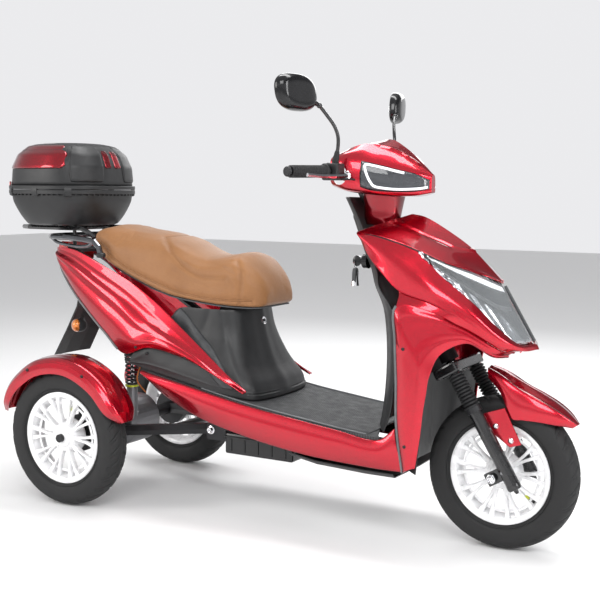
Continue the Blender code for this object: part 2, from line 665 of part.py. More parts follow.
PANEL_TOP = ((-0.232, 0.070, 0.560), (-0.205, 0.108, 0.566), (-0.112, 0.130, 0.560), (0.007, 0.146, 0.520),
             (0.134, 0.156, 0.470), (0.235, 0.160, 0.412), (0.330, 0.166, 0.345), (0.430, 0.176, 0.275),
             (0.522, 0.187, 0.212), (0.578, 0.188, 0.178))
PANEL_LOW = ((-0.226, 0.070, 0.545), (-0.190, 0.112, 0.510), (-0.130, 0.136, 0.445), (-0.050, 0.152, 0.375),
             (0.040, 0.166, 0.305), (0.120, 0.176, 0.250), (0.225, 0.190, 0.278), (0.355, 0.192, 0.258),
             (0.470, 0.195, 0.216), (0.574, 0.191, 0.172))
rows = []
for (top_x, top_y, top_z), (low_x, low_y, low_z) in zip(PANEL_TOP, PANEL_LOW):
    row = []
    for share, out in ((0, 0), (0.2, 0.004), (0.45, 0.016), (0.75, 0.012), (1, 0.0)):
        row.append((top_x + (low_x - top_x) * share, -(top_y + (low_y - top_y) * share) - out,
                    top_z + (low_z - top_z) * share))
    rows.append(row)
shell("side_panel_right", [rows], RED, chassis, outward=(0.1, 0, 0.35))
shell("side_panel_left", [mirrored(rows)], RED, chassis, outward=(0.1, 0, 0.35))
closed_loft("tail_lamp", [
    [(-0.236, -0.064, 0.520), (-0.236, 0.064, 0.520), (-0.200, 0.064, 0.520), (-0.200, -0.064, 0.520)],
    [(-0.246, -0.066, 0.556), (-0.246, 0.066, 0.556), (-0.200, 0.066, 0.556), (-0.200, -0.066, 0.556)],
    [(-0.236, -0.060, 0.582), (-0.236, 0.060, 0.582), (-0.200, 0.060, 0.582), (-0.200, -0.060, 0.582)],
], TAIL_LENS)
rows = []
for x, z, half_width in ((-0.110, 0.480, 0.060), (-0.150, 0.430, 0.066), (-0.160, 0.370, 0.072), (-0.195, 0.290, 0.085),
                         (-0.245, 0.205, 0.088)):
    rows.append([(x, -half_width, z), (x - 0.006, -half_width * 0.4, z), (x - 0.006, half_width * 0.4, z),
                 (x, half_width, z)])
shell("plate_bracket", [rows], BLACK, chassis, thickness=0.004, outward=(0.4, 0, 0.2))

RAIL_LINE = [(0.012, 0.150, 0.545), (0.004, 0.152, 0.575), (-0.014, 0.150, 0.590), (-0.060, 0.146, 0.596),
             (-0.150, 0.136, 0.601), (-0.215, 0.118, 0.600), (-0.262, 0.075, 0.598), (-0.275, 0.0, 0.598)]
right_rail = [(x, -y, z) for x, y, z in RAIL_LINE]
tube("grab_rail", right_rail + [(x, y, z) for x, y, z in reversed(RAIL_LINE[:-1])], 0.0095, STEEL, chassis, 3)

# Rack and top box

RACK_RADIUS = 0.008
RACK_Z = BOX_FLOOR_Z - RACK_RADIUS - TOUCH
rack_side = [(-0.060, 0.092, 0.600), (-0.085, 0.098, RACK_Z - 0.010), (-0.110, 0.100, RACK_Z),
             (-0.340, 0.094, RACK_Z), (-0.385, 0.070, RACK_Z)]
loop = [(x, -y, z) for x, y, z in rack_side] + [(-0.398, 0, RACK_Z)] + [tuple(p) for p in reversed(rack_side)]
rack = as_mesh(tube("box_rack", loop, RACK_RADIUS, STEEL, chassis, 1))
for number, x in enumerate((-0.150, -0.300)):
    bar = rod("rack_bar_%d" % number, (x, -0.097, RACK_Z), (x, 0.097, RACK_Z), 0.006, None, chassis, cutter=True)
    join(rack, bar)
for side in (-1, 1):
    post = rod("rack_post_" + side_name(side), (-0.162, side * 0.0735, 0.5690), (-0.162, side * 0.0735, RACK_Z), 0.006,
               None, chassis, cutter=True)
    tie = rod("rack_tie_" + side_name(side), (-0.162, side * 0.0735, RACK_Z), (-0.162, side * 0.098, RACK_Z), 0.0055,
              None, chassis, cutter=True)
    join(rack, post, tie)


def box_loop(scale, z, count=24, power=2.8):
    """One horizontal outline of the top box: a rounded square."""
    points = []
    for step in range(count):
        angle = 2 * math.pi * step / count
        c, s = math.cos(angle), math.sin(angle)
        reach = (abs(c) ** power + abs(s) ** power) ** (-1 / power)
        points.append((BOX_CENTRE_X + scale * BOX_HALF_LENGTH * reach * c, scale * BOX_HALF_WIDTH * reach * s, z))
    return points


def box_half(name, stations, finish, wall, up):
    """A dish made of box outlines, closed at its first one."""
    bm = bmesh.new()
    loops = [[bm.verts.new(p) for p in box_loop(scale, z)] for scale, z in stations]
    for low, high in zip(loops, loops[1:]):
        for i in range(len(low)):
            j = (i + 1) % len(low)
            bm.faces.new((low[i], low[j], high[j], high[i]))
    bm.faces.new(loops[0])
    bmesh.ops.recalc_face_normals(bm, faces=bm.faces)
    bm.faces.ensure_lookup_table()
    if (bm.faces[-1].normal.z > 0) != up:
        bmesh.ops.reverse_faces(bm, faces=bm.faces)
    made = from_bmesh(name, bm, finish, chassis, smooth=40)
    solid = made.modifiers.new("wall", "SOLIDIFY")
    solid.thickness = wall
    solid.offset = -1
    return made


BOX_WALL = 0.0035
box_half("top_box_tub", [(0.66, BOX_FLOOR_Z), (0.74, BOX_FLOOR_Z + 0.008), (0.86, BOX_FLOOR_Z + 0.040),
                         (0.93, BOX_RIM_Z - 0.040), (0.955, BOX_RIM_Z - 0.012), (1.0, BOX_RIM_Z - 0.010),
                         (1.0, BOX_RIM_Z)], BLACK, BOX_WALL, up=False)
lid_low = BOX_RIM_Z + TOUCH
rise = BOX_TOP_Z - lid_low
box_half("top_box_lid", [(0.45, BOX_TOP_Z), (0.68, BOX_TOP_Z - 0.07 * rise), (0.84, BOX_TOP_Z - 0.25 * rise),
                         (0.93, BOX_TOP_Z - 0.52 * rise), (0.955, lid_low + 0.012), (1.0, lid_low + 0.010),
                         (1.0, lid_low)], BLACK, BOX_WALL, up=True)


# Seat: foam cushion on a moulded pan, hinged at its nose

SEAT = (
    # x, half width share, low z, crown z
    (-0.048, 0.78, 0.594, 0.630),
    (-0.010, 0.88, 0.542, 0.642),
    (0.070, 0.95, 0.500, 0.628),
    (0.190, 1.00, 0.455, 0.613),
    (0.265, 1.00, 0.434, 0.594),
    (0.318, 0.99, 0.426, 0.569),
    (0.372, 0.98, 0.420, 0.553),
    (0.430, 0.96, 0.415, 0.557),
    (0.488, 0.91, 0.412, 0.565),
    (0.527, 0.83, 0.411, 0.540),
    (0.560, 0.70, 0.412, 0.500),
    (0.577, 0.56, 0.420, 0.462),
)
sections = []
pan = []
PAN_THICK = 0.004
for x, share, low, crown in SEAT:
    w = share * SEAT_HALF_WIDTH
    h = crown - low
    right = [(x, -(w - 0.012), low), (x, -w, low + 0.25 * h), (x, -w * 0.97, low + 0.62 * h),
             (x, -w * 0.80, crown - 0.10 * h), (x, -w * 0.45, crown - 0.01)]
    left = [(px, -py, pz) for px, py, pz in reversed(right)]
    sections.append([(x, 0, low)] + right + [(x, 0, crown)] + left)
    if x < 0.57:
        inner = w - 0.016
        pan.append([(x, -inner, low - TOUCH - PAN_THICK), (x, inner, low - TOUCH - PAN_THICK), (x, inner, low - TOUCH),
                    (x, -inner, low - TOUCH)])
closed_loft("seat_cushion", sections, LEATHER)
closed_loft("seat_pan", pan, FOAM_PAN)


# Front body: inner shield with the ignition lock, fairing, lens, leg shields and wheel arch

INNER = (
    # z, centre x from the front axle, half width, edge x from the front axle
    (0.738, -0.487, 0.046, -0.457),
    (0.690, -0.457, 0.075, -0.417),
    (0.640, -0.432, 0.108, -0.376),
    (0.590, -0.407, 0.125, -0.352),
    (0.540, -0.382, 0.138, -0.324),
    (0.500, -0.367, 0.150, -0.312),
    (0.440, -0.342, 0.172, -0.262),
    (0.360, -0.327, 0.188, -0.244),
    (0.260, -0.325, 0.190, -0.244),
    (0.165, -0.332, 0.190, -0.254),
    (0.112, -0.338, 0.187, -0.274),
)
rows = []
for z, middle, half_width, edge_x in INNER:
    row = []
    for across in (-1, -0.82, -0.5, -0.2, 0, 0.2, 0.5, 0.82, 1):
        row.append((middle + (edge_x - middle) * abs(across) ** 2.2, across * half_width, z))
    rows.append(row)
inner_shield = shell("inner_shield", [rows], BLACK, front, outward=(0.2, 0, 0.5))
LOCK = Vector((-0.3945, -0.050, 0.560))
lock = rod("ignition_lock", LOCK + Vector((0.020, 0, 0)), LOCK + Vector((-0.014, 0, 0)), 0.015, None, front, sides=20,
           cutter=True)
join(inner_shield, lock)
KEY_RADIUS = 0.0035
keyhole = rod("keyhole", LOCK + Vector((0.010, 0, 0)), LOCK + Vector((-0.02, 0, 0)), KEY_RADIUS + TOUCH, None, front,
              cutter=True)
cut(inner_shield, keyhole)

CREST = [(-0.282, 0, 0.694), (-0.242, 0, 0.686), (-0.177, 0, 0.652), (-0.109, 0, 0.608), (-0.062, 0, 0.565),
         (-0.025, 0, 0.528), (-0.012, 0, 0.514)]
CREASE = [(-0.382, -0.143, 0.646), (-0.327, -0.146, 0.639), (-0.259, -0.145, 0.622), (-0.197, -0.141, 0.601),
          (-0.134, -0.122, 0.573), (-0.069, -0.070, 0.546), (-0.017, -0.012, 0.517)]
FLANK_TOP = CREASE[:4] + [(-0.139, -0.146, 0.542), (-0.058, -0.131, 0.477), (0.015, -0.100, 0.401),
                          (0.057, -0.060, 0.360), (0.079, 0, 0.358)]
FLANK_LOW = [(-0.372, -0.147, 0.628), (-0.342, -0.157, 0.585), (-0.292, -0.172, 0.538), (-0.237, -0.182, 0.495),
             (-0.149, -0.184, 0.469), (-0.073, -0.163, 0.432), (0.020, -0.115, 0.363), (0.065, -0.060, 0.343),
             (0.091, 0, 0.343)]


def between(low, high, share, out=0.0):
    """A point part of the way across a panel, pushed outwards from the middle plane."""
    x, y, z = (a + (b - a) * share for a, b in zip(low, high))
    return (x, y - out if abs(y) > 0.001 else y, z + out * 0.3)


hood = []
for crest, crease in zip(CREST, CREASE):
    hood.append([crease, between(crease, crest, 0.35, 0.004), between(crease, crest, 0.7, 0.002), crest])
flank = [[low, between(low, top, 0.5, 0.010), top] for low, top in zip(FLANK_LOW, FLANK_TOP)]
shell("front_fairing", [hood, mirrored(hood), flank, mirrored(flank)], RED, front, outward=(-0.15, 0, 0.45))

LENS_GAP = 0.006
lens_top = smooth_line([CREASE[3], CREASE[4], CREASE[5], (-0.012, 0, 0.510)], 9)
lens_low = smooth_line(FLANK_TOP[3:], 9)
rows = []
for number, (top, low) in enumerate(zip(lens_top, lens_low)):
    if number == 0:
        continue
    width = np.linalg.norm(top - low)
    gap = LENS_GAP / width
    start = between(low, top, gap)
    end = between(low, top, 1 - gap)
    rows.append([start, between(start, end, 0.5, 0.012 if number < 8 else 0.0), end])
shell("headlight", [rows, mirrored(rows)], LENS, front, outward=(-0.15, 0, 0.40))

SHIELD_OUT = [(0.040, -0.045, 0.336), (0.020, -0.095, 0.345), (-0.072, -0.148, 0.405), (-0.144, -0.184, 0.446),
              (-0.234, -0.2035, 0.457), (-0.235, -0.2045, 0.366), (-0.230, -0.2045, 0.260), (-0.227, -0.2045, 0.140),
              (-0.208, -0.2040, 0.012)]
SHIELD_IN = [(0.022, -0.048, 0.322), (-0.002, -0.100, 0.328), (-0.059, -0.146, 0.365), (-0.117, -0.181, 0.335),
             (-0.139, -0.196, 0.280), (-0.147, -0.199, 0.230), (-0.154, -0.201, 0.180), (-0.160, -0.202, 0.120),
             (-0.173, -0.203, 0.030)]
rows = []
for out, inner in zip(SHIELD_OUT, SHIELD_IN):
    rows.append([out, between(out, inner, 0.33, 0.008), between(out, inner, 0.7, 0.008), inner])
shell("leg_shield_right", [rows], RED, front, outward=(-0.2, 0.2, 0.2))
shell("leg_shield_left", [mirrored(rows)], RED, front, outward=(-0.2, -0.2, 0.2))

ARCH = (
    # z, then x from the front axle at each share of the half width
    (0.008, (-0.242, -0.236, -0.212, -0.175)),
    (0.090, (-0.242, -0.232, -0.197, -0.167)),
    (0.190, (-0.237, -0.222, -0.182, -0.157)),
    (0.245, (-0.232, -0.217, -0.167, -0.150)),
)
rows = []
for z, reach in ARCH:
    right = [(reach[3], -0.190, z), (reach[2], -0.150, z), (reach[1], -0.100, z), (reach[0], -0.035, z)]
    rows.append(right + [(x, -y, z) for x, y, z in reversed(right)])
shell("wheel_arch_liner", [rows], BLACK, front, outward=(-0.6, 0, 0.15))


# Handlebar, grips, switches, brake levers and mirrors

BAR_MIDDLE = on_steering(STEM_TOP + BAR_RADIUS + TOUCH) - Vector((WHEELBASE, 0, 0))
BAR_REACH = Vector((-0.437, 0.100, 0.7925))
BAR_BEND = Vector((-0.445, 0.190, 0.8085))
BAR_RUN = Vector((-0.050, 0.145, -0.0025)).normalized()
GRIP_START = 0.014
BAR_TIP = BAR_BEND + BAR_RUN * (GRIP_START + GRIP_LENGTH + 0.014)


def mirror_y(point, side):
    return Vector((point[0], side * point[1], point[2]))


bar_line = [mirror_y(p, -1) for p in (BAR_TIP, BAR_BEND, BAR_REACH)] + [BAR_MIDDLE, BAR_REACH, BAR_BEND, BAR_TIP]
tube("handlebar", bar_line, BAR_RADIUS, STEEL, front, 3)
SWITCH = Vector((-0.4425, 0.172, 0.8075))
SWITCH_SIZE = Vector((0.050, 0.044, 0.046))
MIRROR_HALF_WIDTH = 0.070
MIRROR_HALF_HEIGHT = 0.048
MIRROR_YAW = math.radians(15)
BALL_RADIUS = 0.008
PERCH = Vector((-0.405, 0.160, 0.7975))
for side in (-1, 1):
    tag = side_name(side)
    start = mirror_y(BAR_BEND + BAR_RUN * GRIP_START, side)
    end = mirror_y(BAR_BEND + BAR_RUN * (GRIP_START + GRIP_LENGTH), side)
    name = "throttle_grip" if side < 0 else "grip_left"
    grip = rod(name, start, end, GRIP_RADIUS, RUBBER, front, sides=20)
    along = (end - start).normalized()
    cut(grip, rod("grip_bore_" + tag, start - along * 0.02, end + along * 0.02, BAR_RADIUS + RUN, None, front,
                  cutter=True))
    middle = mirror_y(SWITCH, side)
    body = block("switch_block_" + tag, middle - SWITCH_SIZE / 2, middle + SWITCH_SIZE / 2, BLACK, front, edge=0.005)
    run = (mirror_y(BAR_BEND, side) - mirror_y(BAR_REACH, side)).normalized()
    bend = mirror_y(BAR_BEND, side)
    perch = mirror_y(PERCH, side)
    arm_plate = block("lever_bracket_" + tag, (SWITCH.x, min(perch.y - 0.009, perch.y + 0.009), perch.z - 0.012),
                      (perch.x + 0.009, max(perch.y - 0.009, perch.y + 0.009), perch.z - 0.007), None, front,
                      cutter=True)
    pin = rod("lever_pin_" + tag, perch - Vector((0, 0, 0.009)), perch + Vector((0, 0, 0.009)), 0.0035, None, front,
              cutter=True)
    join(body, arm_plate, pin)
    cut(body, rod("bar_bore_" + tag, bend - run * 0.09, bend + run * 0.002, BAR_RADIUS + 0.0014, None, front,
                  cutter=True),
        rod("bend_bore_" + tag, bend - along * 0.003, bend + along * 0.03, BAR_RADIUS + 0.0014, None, front,
            cutter=True))
    lever_line = [perch, perch + Vector((0.012, side * 0.030, -0.001)), perch + Vector((0.006, side * 0.080, -0.003)),
                  perch + Vector((-0.014, side * 0.130, -0.003)), perch + Vector((-0.030, side * 0.168, 0.0))]
    lever = as_mesh(tube("brake_lever_" + tag, lever_line, 0.0055, CHROME, front, 1))
    join(lever, rod("lever_eye_" + tag, perch - Vector((0, 0, 0.0065)), perch + Vector((0, 0, 0.0065)), 0.0095, None,
                    front, cutter=True))
    cut(lever, rod("lever_hole_" + tag, perch - Vector((0, 0, 0.02)), perch + Vector((0, 0, 0.02)), 0.0035 + RUN,
                   None, front, cutter=True))
    top = middle + Vector((0.006, 0, SWITCH_SIZE.z / 2 + TOUCH))
    stem_line = [top + Vector((0, 0, 0.002)), top + Vector((0.010, side * 0.004, 0.044)),
                 top + Vector((0.012, side * 0.009, 0.072)), top + Vector((0.006, side * 0.018, 0.098)),
                 top + Vector((-0.006, side * 0.042, 0.128)), top + Vector((-0.014, side * 0.066, 0.150))]
    mirror_stem = as_mesh(tube("mirror_stem_" + tag, stem_line, 0.005, STEEL, front, 1))
    foot = rod("stem_nut_" + tag, top, top + Vector((0, 0, 0.012)), 0.0085, None, front, sides=6, cutter=True)
    ball = stem_line[-1]
    bm = bmesh.new()
    bmesh.ops.create_uvsphere(bm, u_segments=12, v_segments=8, radius=BALL_RADIUS)
    knob = from_bmesh("stem_ball_" + tag, bm, None, front, cutter=True)
    knob.location = ball
    join(mirror_stem, foot, knob)
    head_middle = ball + Vector((-0.024, side * 0.075, 0.030))
    back = Vector((math.cos(MIRROR_YAW), side * math.sin(MIRROR_YAW), 0))
    outwards = Vector((-math.sin(MIRROR_YAW), side * math.cos(MIRROR_YAW), 0))
    loops = []
    for depth, scale in ((-0.017, 0.93), (-0.013, 1.0), (-0.001, 0.98), (0.010, 0.86), (0.0165, 0.62)):
        ring = []
        for step in range(20):
            angle = 2 * math.pi * step / 20
            c, s = math.cos(angle), math.sin(angle)
            reach = scale * (abs(c) ** 2.6 + abs(s) ** 2.6) ** (-1 / 2.6)
            across = MIRROR_HALF_WIDTH * reach * c + 0.010 * s * scale
            ring.append(head_middle + back * depth + outwards * across + Vector((0, 0, MIRROR_HALF_HEIGHT * reach * s)))
        loops.append(ring)
    mirror_head = closed_loft("mirror_head_" + tag, loops, MIRROR, front)
    to_head = (head_middle - ball).normalized()
    join(mirror_head, rod("mirror_boss_" + tag, ball + to_head * (BALL_RADIUS + TOUCH), ball + to_head * 0.045, 0.006,
                          None, front, cutter=True))

left = bpy.data.objects["switch_block_left"]
BACK = SWITCH.x - SWITCH_SIZE.x / 2
HORN = Vector((BACK, SWITCH.y, SWITCH.z + 0.010))
rod("horn_button", HORN + Vector((-0.006, 0, 0)), HORN + Vector((0.0035, 0, 0)), 0.0065, RED, front)
cut(left, rod("horn_socket", HORN + Vector((-0.01, 0, 0)), HORN + Vector((0.0065, 0, 0)), 0.0065 + RUN, None, front,
              cutter=True))
SLIDE = Vector((BACK, SWITCH.y, SWITCH.z - 0.0135))
block("indicator_switch", SLIDE + Vector((-0.004, -0.0035, -0.0025)), SLIDE + Vector((0.0035, 0.0035, 0.0025)), MAT,
      front)
cut(left, block("indicator_slot", SLIDE + Vector((-0.01, -0.0085, -0.0030)), SLIDE + Vector((0.0040, 0.0085, 0.0030)),
                None, front, cutter=True))

COWL = (
    # x from the front axle, crest z, shoulder y z, side y z, low y z
    (-0.472, 0.855, 0.118, 0.850, 0.134, 0.820, 0.120, 0.772),
    (-0.430, 0.876, 0.108, 0.868, 0.142, 0.834, 0.132, 0.762),
    (-0.388, 0.894, 0.084, 0.880, 0.131, 0.832, 0.124, 0.757),
    (-0.348, 0.900, 0.060, 0.874, 0.108, 0.824, 0.106, 0.752),
    (-0.302, 0.875, 0.040, 0.858, 0.080, 0.814, 0.080, 0.749),
    (-0.256, 0.836, 0.022, 0.826, 0.044, 0.804, 0.046, 0.751),
    (-0.221, 0.803, 0.007, 0.800, 0.012, 0.790, 0.013, 0.757),
)
half = []
for x, crest, shoulder_y, shoulder_z, side_y, side_z, low_y, low_z in COWL:
    half.append([(x, 0, low_z - 0.004), (x, -low_y, low_z), (x, -side_y, side_z), (x, -shoulder_y, shoulder_z),
                 (x, 0, crest)])
tip = half[-1]
cowl = shell("handlebar_cowl", [half, mirrored(half), [tip] + mirrored([tip])], RED, front, outward=(-0.36, 0, 0.81))
neck_loops = []
for z, back, ahead, half_width in ((0.692, -0.425, -0.322, 0.036), (0.720, -0.425, -0.318, 0.040),
                                   (0.757, -0.425, -0.314, 0.046)):
    neck_loops.append([(back, -half_width, z), (ahead - 0.02, -half_width, z), (ahead, -half_width * 0.4, z),
                       (ahead, half_width * 0.4, z), (ahead - 0.02, half_width, z), (back, half_width, z)])
neck = closed_loft("neck", neck_loops, None, front, cutter=True)
neck_hollow = closed_loft("neck_hollow", [
    [(-0.50 if x == ring[0][0] else x - 0.004, y * 0.90, z + lift) for x, y, z in ring]
    for ring, lift in zip(neck_loops, (-0.01, 0, 0.01))], None, front, cutter=True)
join(cowl, neck)
stem_opening = rod("stem_opening", on_steering(0.80) - Vector((WHEELBASE, 0, 0)),
                   on_steering(STEM_TOP + 0.02) - Vector((WHEELBASE, 0, 0)), STEM_RADIUS + 0.008, None, front,
                   cutter=True)
cut(cowl, neck_hollow, stem_opening)
for side in (-1, 1):
    bend = mirror_y(BAR_BEND, side)
    run = (bend - mirror_y(BAR_REACH, side)).normalized()
    cut(cowl, rod("cowl_opening_" + side_name(side), bend - run * 0.085, bend, 0.026, None, front, sides=20,
                  cutter=True))


# Key and fob

KEY_IN = LOCK.x + 0.006
KEY_OUT = LOCK.x - 0.020
key = rod("key", (KEY_IN, LOCK.y, LOCK.z), (KEY_OUT, LOCK.y, LOCK.z), KEY_RADIUS, MIRROR, front, sides=12)
bow = rod("key_bow", (KEY_OUT - 0.010, LOCK.y - 0.0025, LOCK.z), (KEY_OUT - 0.010, LOCK.y + 0.0025, LOCK.z), 0.014,
          None, front, sides=20, cutter=True)
join(key, bow)
RING_HOLE = Vector((KEY_OUT - 0.018, LOCK.y, LOCK.z))
cut(key, rod("ring_hole", RING_HOLE - Vector((0, 0.01, 0)), RING_HOLE + Vector((0, 0.01, 0)), 0.0030, None, front,
             sides=12, cutter=True))
RING = 0.0095
bm = bmesh.new()
ring_points = 20
loops = []
for step in range(ring_points):
    angle = 2 * math.pi * step / ring_points
    middle = RING_HOLE + Vector((0, RING * math.sin(angle), -RING + RING * math.cos(angle)))
    outwards = Vector((0, math.sin(angle), math.cos(angle)))
    loop = []
    for turn_step in range(6):
        turn = 2 * math.pi * turn_step / 6
        loop.append(bm.verts.new(middle + 0.0013 * (math.cos(turn) * outwards + math.sin(turn) * Vector((1, 0, 0)))))
    loops.append(loop)
for i in range(ring_points):
    for j in range(6):
        bm.faces.new((loops[i][j], loops[i][(j + 1) % 6], loops[(i + 1) % ring_points][(j + 1) % 6],
                      loops[(i + 1) % ring_points][j]))
bmesh.ops.recalc_face_normals(bm, faces=bm.faces)
fob = from_bmesh("key_fob", bm, MIRROR, front)
fob_top = RING_HOLE + Vector((0, 0, -2 * RING + 0.0005))
join(fob, rod("fob_neck", fob_top, fob_top + Vector((0, 0, -0.016)), 0.003, None, front, sides=10, cutter=True))
join(fob, rod("fob_body", fob_top + Vector((0, 0, -0.052)), fob_top + Vector((0, 0, -0.014)), 0.0115, None, front,
              sides=16, cutter=True, end_radius=0.008))
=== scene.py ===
"""Looks of a three-wheeled electric mobility scooter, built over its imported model.

Every place comes from the model's own nodes: rear pieces are measured from the rear axle's middle, front
pieces from the front axle, and fork pieces along the raked steering axis. Metres, +X forward, +Y left, +Z up.
"""

import json
import math

import bmesh
import bpy
import numpy as np
from mathutils import Matrix, Vector


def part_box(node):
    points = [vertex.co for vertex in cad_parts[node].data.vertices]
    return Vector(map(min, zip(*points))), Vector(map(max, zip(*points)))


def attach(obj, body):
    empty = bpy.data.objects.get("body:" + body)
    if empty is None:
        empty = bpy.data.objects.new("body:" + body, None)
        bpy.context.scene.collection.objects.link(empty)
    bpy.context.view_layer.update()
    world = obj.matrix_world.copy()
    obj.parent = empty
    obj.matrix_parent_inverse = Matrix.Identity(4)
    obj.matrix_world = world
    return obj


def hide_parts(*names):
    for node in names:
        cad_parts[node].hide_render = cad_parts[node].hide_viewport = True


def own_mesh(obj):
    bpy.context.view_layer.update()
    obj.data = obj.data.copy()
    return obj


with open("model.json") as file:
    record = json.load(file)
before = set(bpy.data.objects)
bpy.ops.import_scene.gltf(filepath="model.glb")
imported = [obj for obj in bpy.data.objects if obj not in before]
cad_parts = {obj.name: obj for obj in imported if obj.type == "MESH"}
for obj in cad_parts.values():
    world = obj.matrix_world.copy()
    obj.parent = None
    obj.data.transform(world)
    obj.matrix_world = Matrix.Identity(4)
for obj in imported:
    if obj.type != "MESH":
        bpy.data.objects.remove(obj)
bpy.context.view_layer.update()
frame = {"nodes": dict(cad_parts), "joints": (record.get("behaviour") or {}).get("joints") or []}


# The three reference points: rear axle middle, front axle and the steering axis.

def node_centre(name):
    low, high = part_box(name)
    return (Vector(low) + Vector(high)) / 2


REAR = node_centre("rear_left_rim")
HALF_TRACK = REAR.y
REAR.y = 0
FRONT = node_centre("front_rim")
JOINTS = {joint["name"]: joint for joint in frame["joints"]}
STEER_AT = Vector(JOINTS["steering_turn"]["pos_m"])
STEER_UP = Vector(JOINTS["steering_turn"]["axis"])
STEER_AHEAD = Vector((STEER_UP.z, 0, -STEER_UP.x))


def chassis(x, y, z):
    """A point measured from the middle of the rear axle."""
    return REAR + Vector((x, y, z))


def front(x, y, z):
    """A point measured from the front axle."""
    return FRONT + Vector((x, y, z))


def fork(along, ahead=0.0, y=0.0):
    """A point measured along and ahead of the steering axis."""
    return STEER_AT + STEER_UP * along + STEER_AHEAD * ahead + Vector((0, y, 0))


# Camera, floor and soft studio light. The camera looks from the front right, a little above the seat.

CAMERA_AZIMUTH = math.radians(29.71)
CAMERA_PITCH = math.radians(5.93)
CAMERA_ROLL = math.radians(0.44)
CAMERA_AIM = Vector((0.0905, 0.0265, 0.639))
CAMERA_DISTANCE = 3.25
CAMERA_LENS = 64.9

looks = Vector((-math.sin(CAMERA_AZIMUTH) * math.cos(CAMERA_PITCH), math.cos(CAMERA_AZIMUTH) * math.cos(CAMERA_PITCH),
                -math.sin(CAMERA_PITCH)))
camera = bpy.data.objects.new("camera", bpy.data.cameras.new("camera"))
bpy.context.collection.objects.link(camera)
camera.location = CAMERA_AIM - looks * CAMERA_DISTANCE
camera.rotation_euler = (looks.to_track_quat("-Z", "Y").to_matrix() @ Matrix.Rotation(CAMERA_ROLL, 3, "Z")).to_euler()
camera.data.lens = CAMERA_LENS
camera.data.sensor_width = 36
bpy.context.scene.camera = camera

world = bpy.data.worlds.new("studio")
world.use_nodes = True
sky = world.node_tree
toward = sky.nodes.new("ShaderNodeSeparateXYZ")
shade = sky.nodes.new("ShaderNodeValToRGB")
for number, (at, tone) in enumerate(((0.20, (0.98, 0.98, 1.0, 1)), (0.42, (0.20, 0.20, 0.21, 1)))):
    shade.color_ramp.elements[number].position = at
    shade.color_ramp.elements[number].color = tone
sky.links.new(sky.nodes.new("ShaderNodeTexCoord").outputs["Generated"], toward.inputs["Vector"])
sky.links.new(toward.outputs["Z"], shade.inputs["Fac"])
sky.links.new(shade.outputs["Color"], sky.nodes["Background"].inputs["Color"])
sky.nodes["Background"].inputs["Strength"].default_value = 0.85
bpy.context.scene.world = world
bpy.context.scene.view_settings.view_transform = "Standard"


def area_light(name, at, aim, size, depth, power, colour=(1, 1, 1)):
    data = bpy.data.lights.new(name, "AREA")
    data.shape = "RECTANGLE"
    data.size = size
    data.size_y = depth
    data.energy = power
    data.color = colour
    light = bpy.data.objects.new(name, data)
    bpy.context.collection.objects.link(light)
    light.location = at
    light.rotation_euler = (Vector(aim) - Vector(at)).to_track_quat("-Z", "Y").to_euler()
    return light


area_light("key_softbox", (1.9, -3.2, 3.1), (0.1, 0, 0.6), 2.4, 1.6, 84)
area_light("side_softbox", (-2.6, -2.9, 1.9), (-0.2, 0, 0.6), 1.0, 2.2, 48, (1.0, 0.98, 0.95))
area_light("top_strip", (0.2, 0.6, 3.6), (0.1, 0, 0.5), 3.4, 0.7, 70)
area_light("front_strip", (3.6, -0.6, 1.7), (0.6, 0, 0.6), 0.6, 2.2, 42)
area_light("far_softbox", (-0.6, 3.4, 2.4), (0, 0, 0.6), 3.0, 1.4, 46)


sun = bpy.data.objects.new("overhead_glow", bpy.data.lights.new("overhead_glow", "SUN"))
sun.data.energy = 1.1
sun.data.angle = 2.2
sun.rotation_euler = (0.35, -0.25, 0)
bpy.context.collection.objects.link(sun)


# Materials. Each is a Principled shader whose colour, roughness and normal come from shared node groups.

def group(name, inputs, outputs):
    """An empty node group with its sockets, as (group, input node, output node)."""
    tree = bpy.data.node_groups.new(name, "ShaderNodeTree")
    for label, kind, value in inputs:
        socket = tree.interface.new_socket(name=label, in_out="INPUT", socket_type=kind)
        socket.default_value = value
    for label, kind in outputs:
        tree.interface.new_socket(name=label, in_out="OUTPUT", socket_type=kind)
    return tree, tree.nodes.new("NodeGroupInput"), tree.nodes.new("NodeGroupOutput")


def add(tree, kind, **sockets):
    """A node with some of its input sockets set or linked, by name."""
    node = tree.nodes.new(kind)
    for label, value in sockets.items():
        socket = node.inputs[label.replace("_", " ")] if label.replace("_", " ") in node.inputs else node.inputs[label]
        if isinstance(value, bpy.types.NodeSocket):
            tree.links.new(value, socket)
        else:
            socket.default_value = value
    return node


def grain_group():
    """Moulded grain: pebbled bumps over a slow unevenness. Gives a height and a 0 to 1 mottling."""
    tree, take, give = group("moulded_grain", [("Scale", "NodeSocketFloat", 900.0), ("Pebble", "NodeSocketFloat", 0.6)],
                             [("Height", "NodeSocketFloat"), ("Mottle", "NodeSocketFloat")])
    place = tree.nodes.new("ShaderNodeTexCoord").outputs["Object"]
    cells = add(tree, "ShaderNodeTexVoronoi", Vector=place, Scale=take.outputs["Scale"])
    cells.feature = "SMOOTH_F1"
    noise = add(tree, "ShaderNodeTexNoise", Vector=place, Scale=38.0, Detail=5.0)
    mix = tree.nodes.new("ShaderNodeMath")
    mix.operation = "MULTIPLY_ADD"
    tree.links.new(cells.outputs["Distance"], mix.inputs[0])
    tree.links.new(take.outputs["Pebble"], mix.inputs[1])
    tree.links.new(noise.outputs["Fac"], mix.inputs[2])
    tree.links.new(mix.outputs[0], give.inputs["Height"])
    tree.links.new(noise.outputs["Fac"], give.inputs["Mottle"])
    return tree


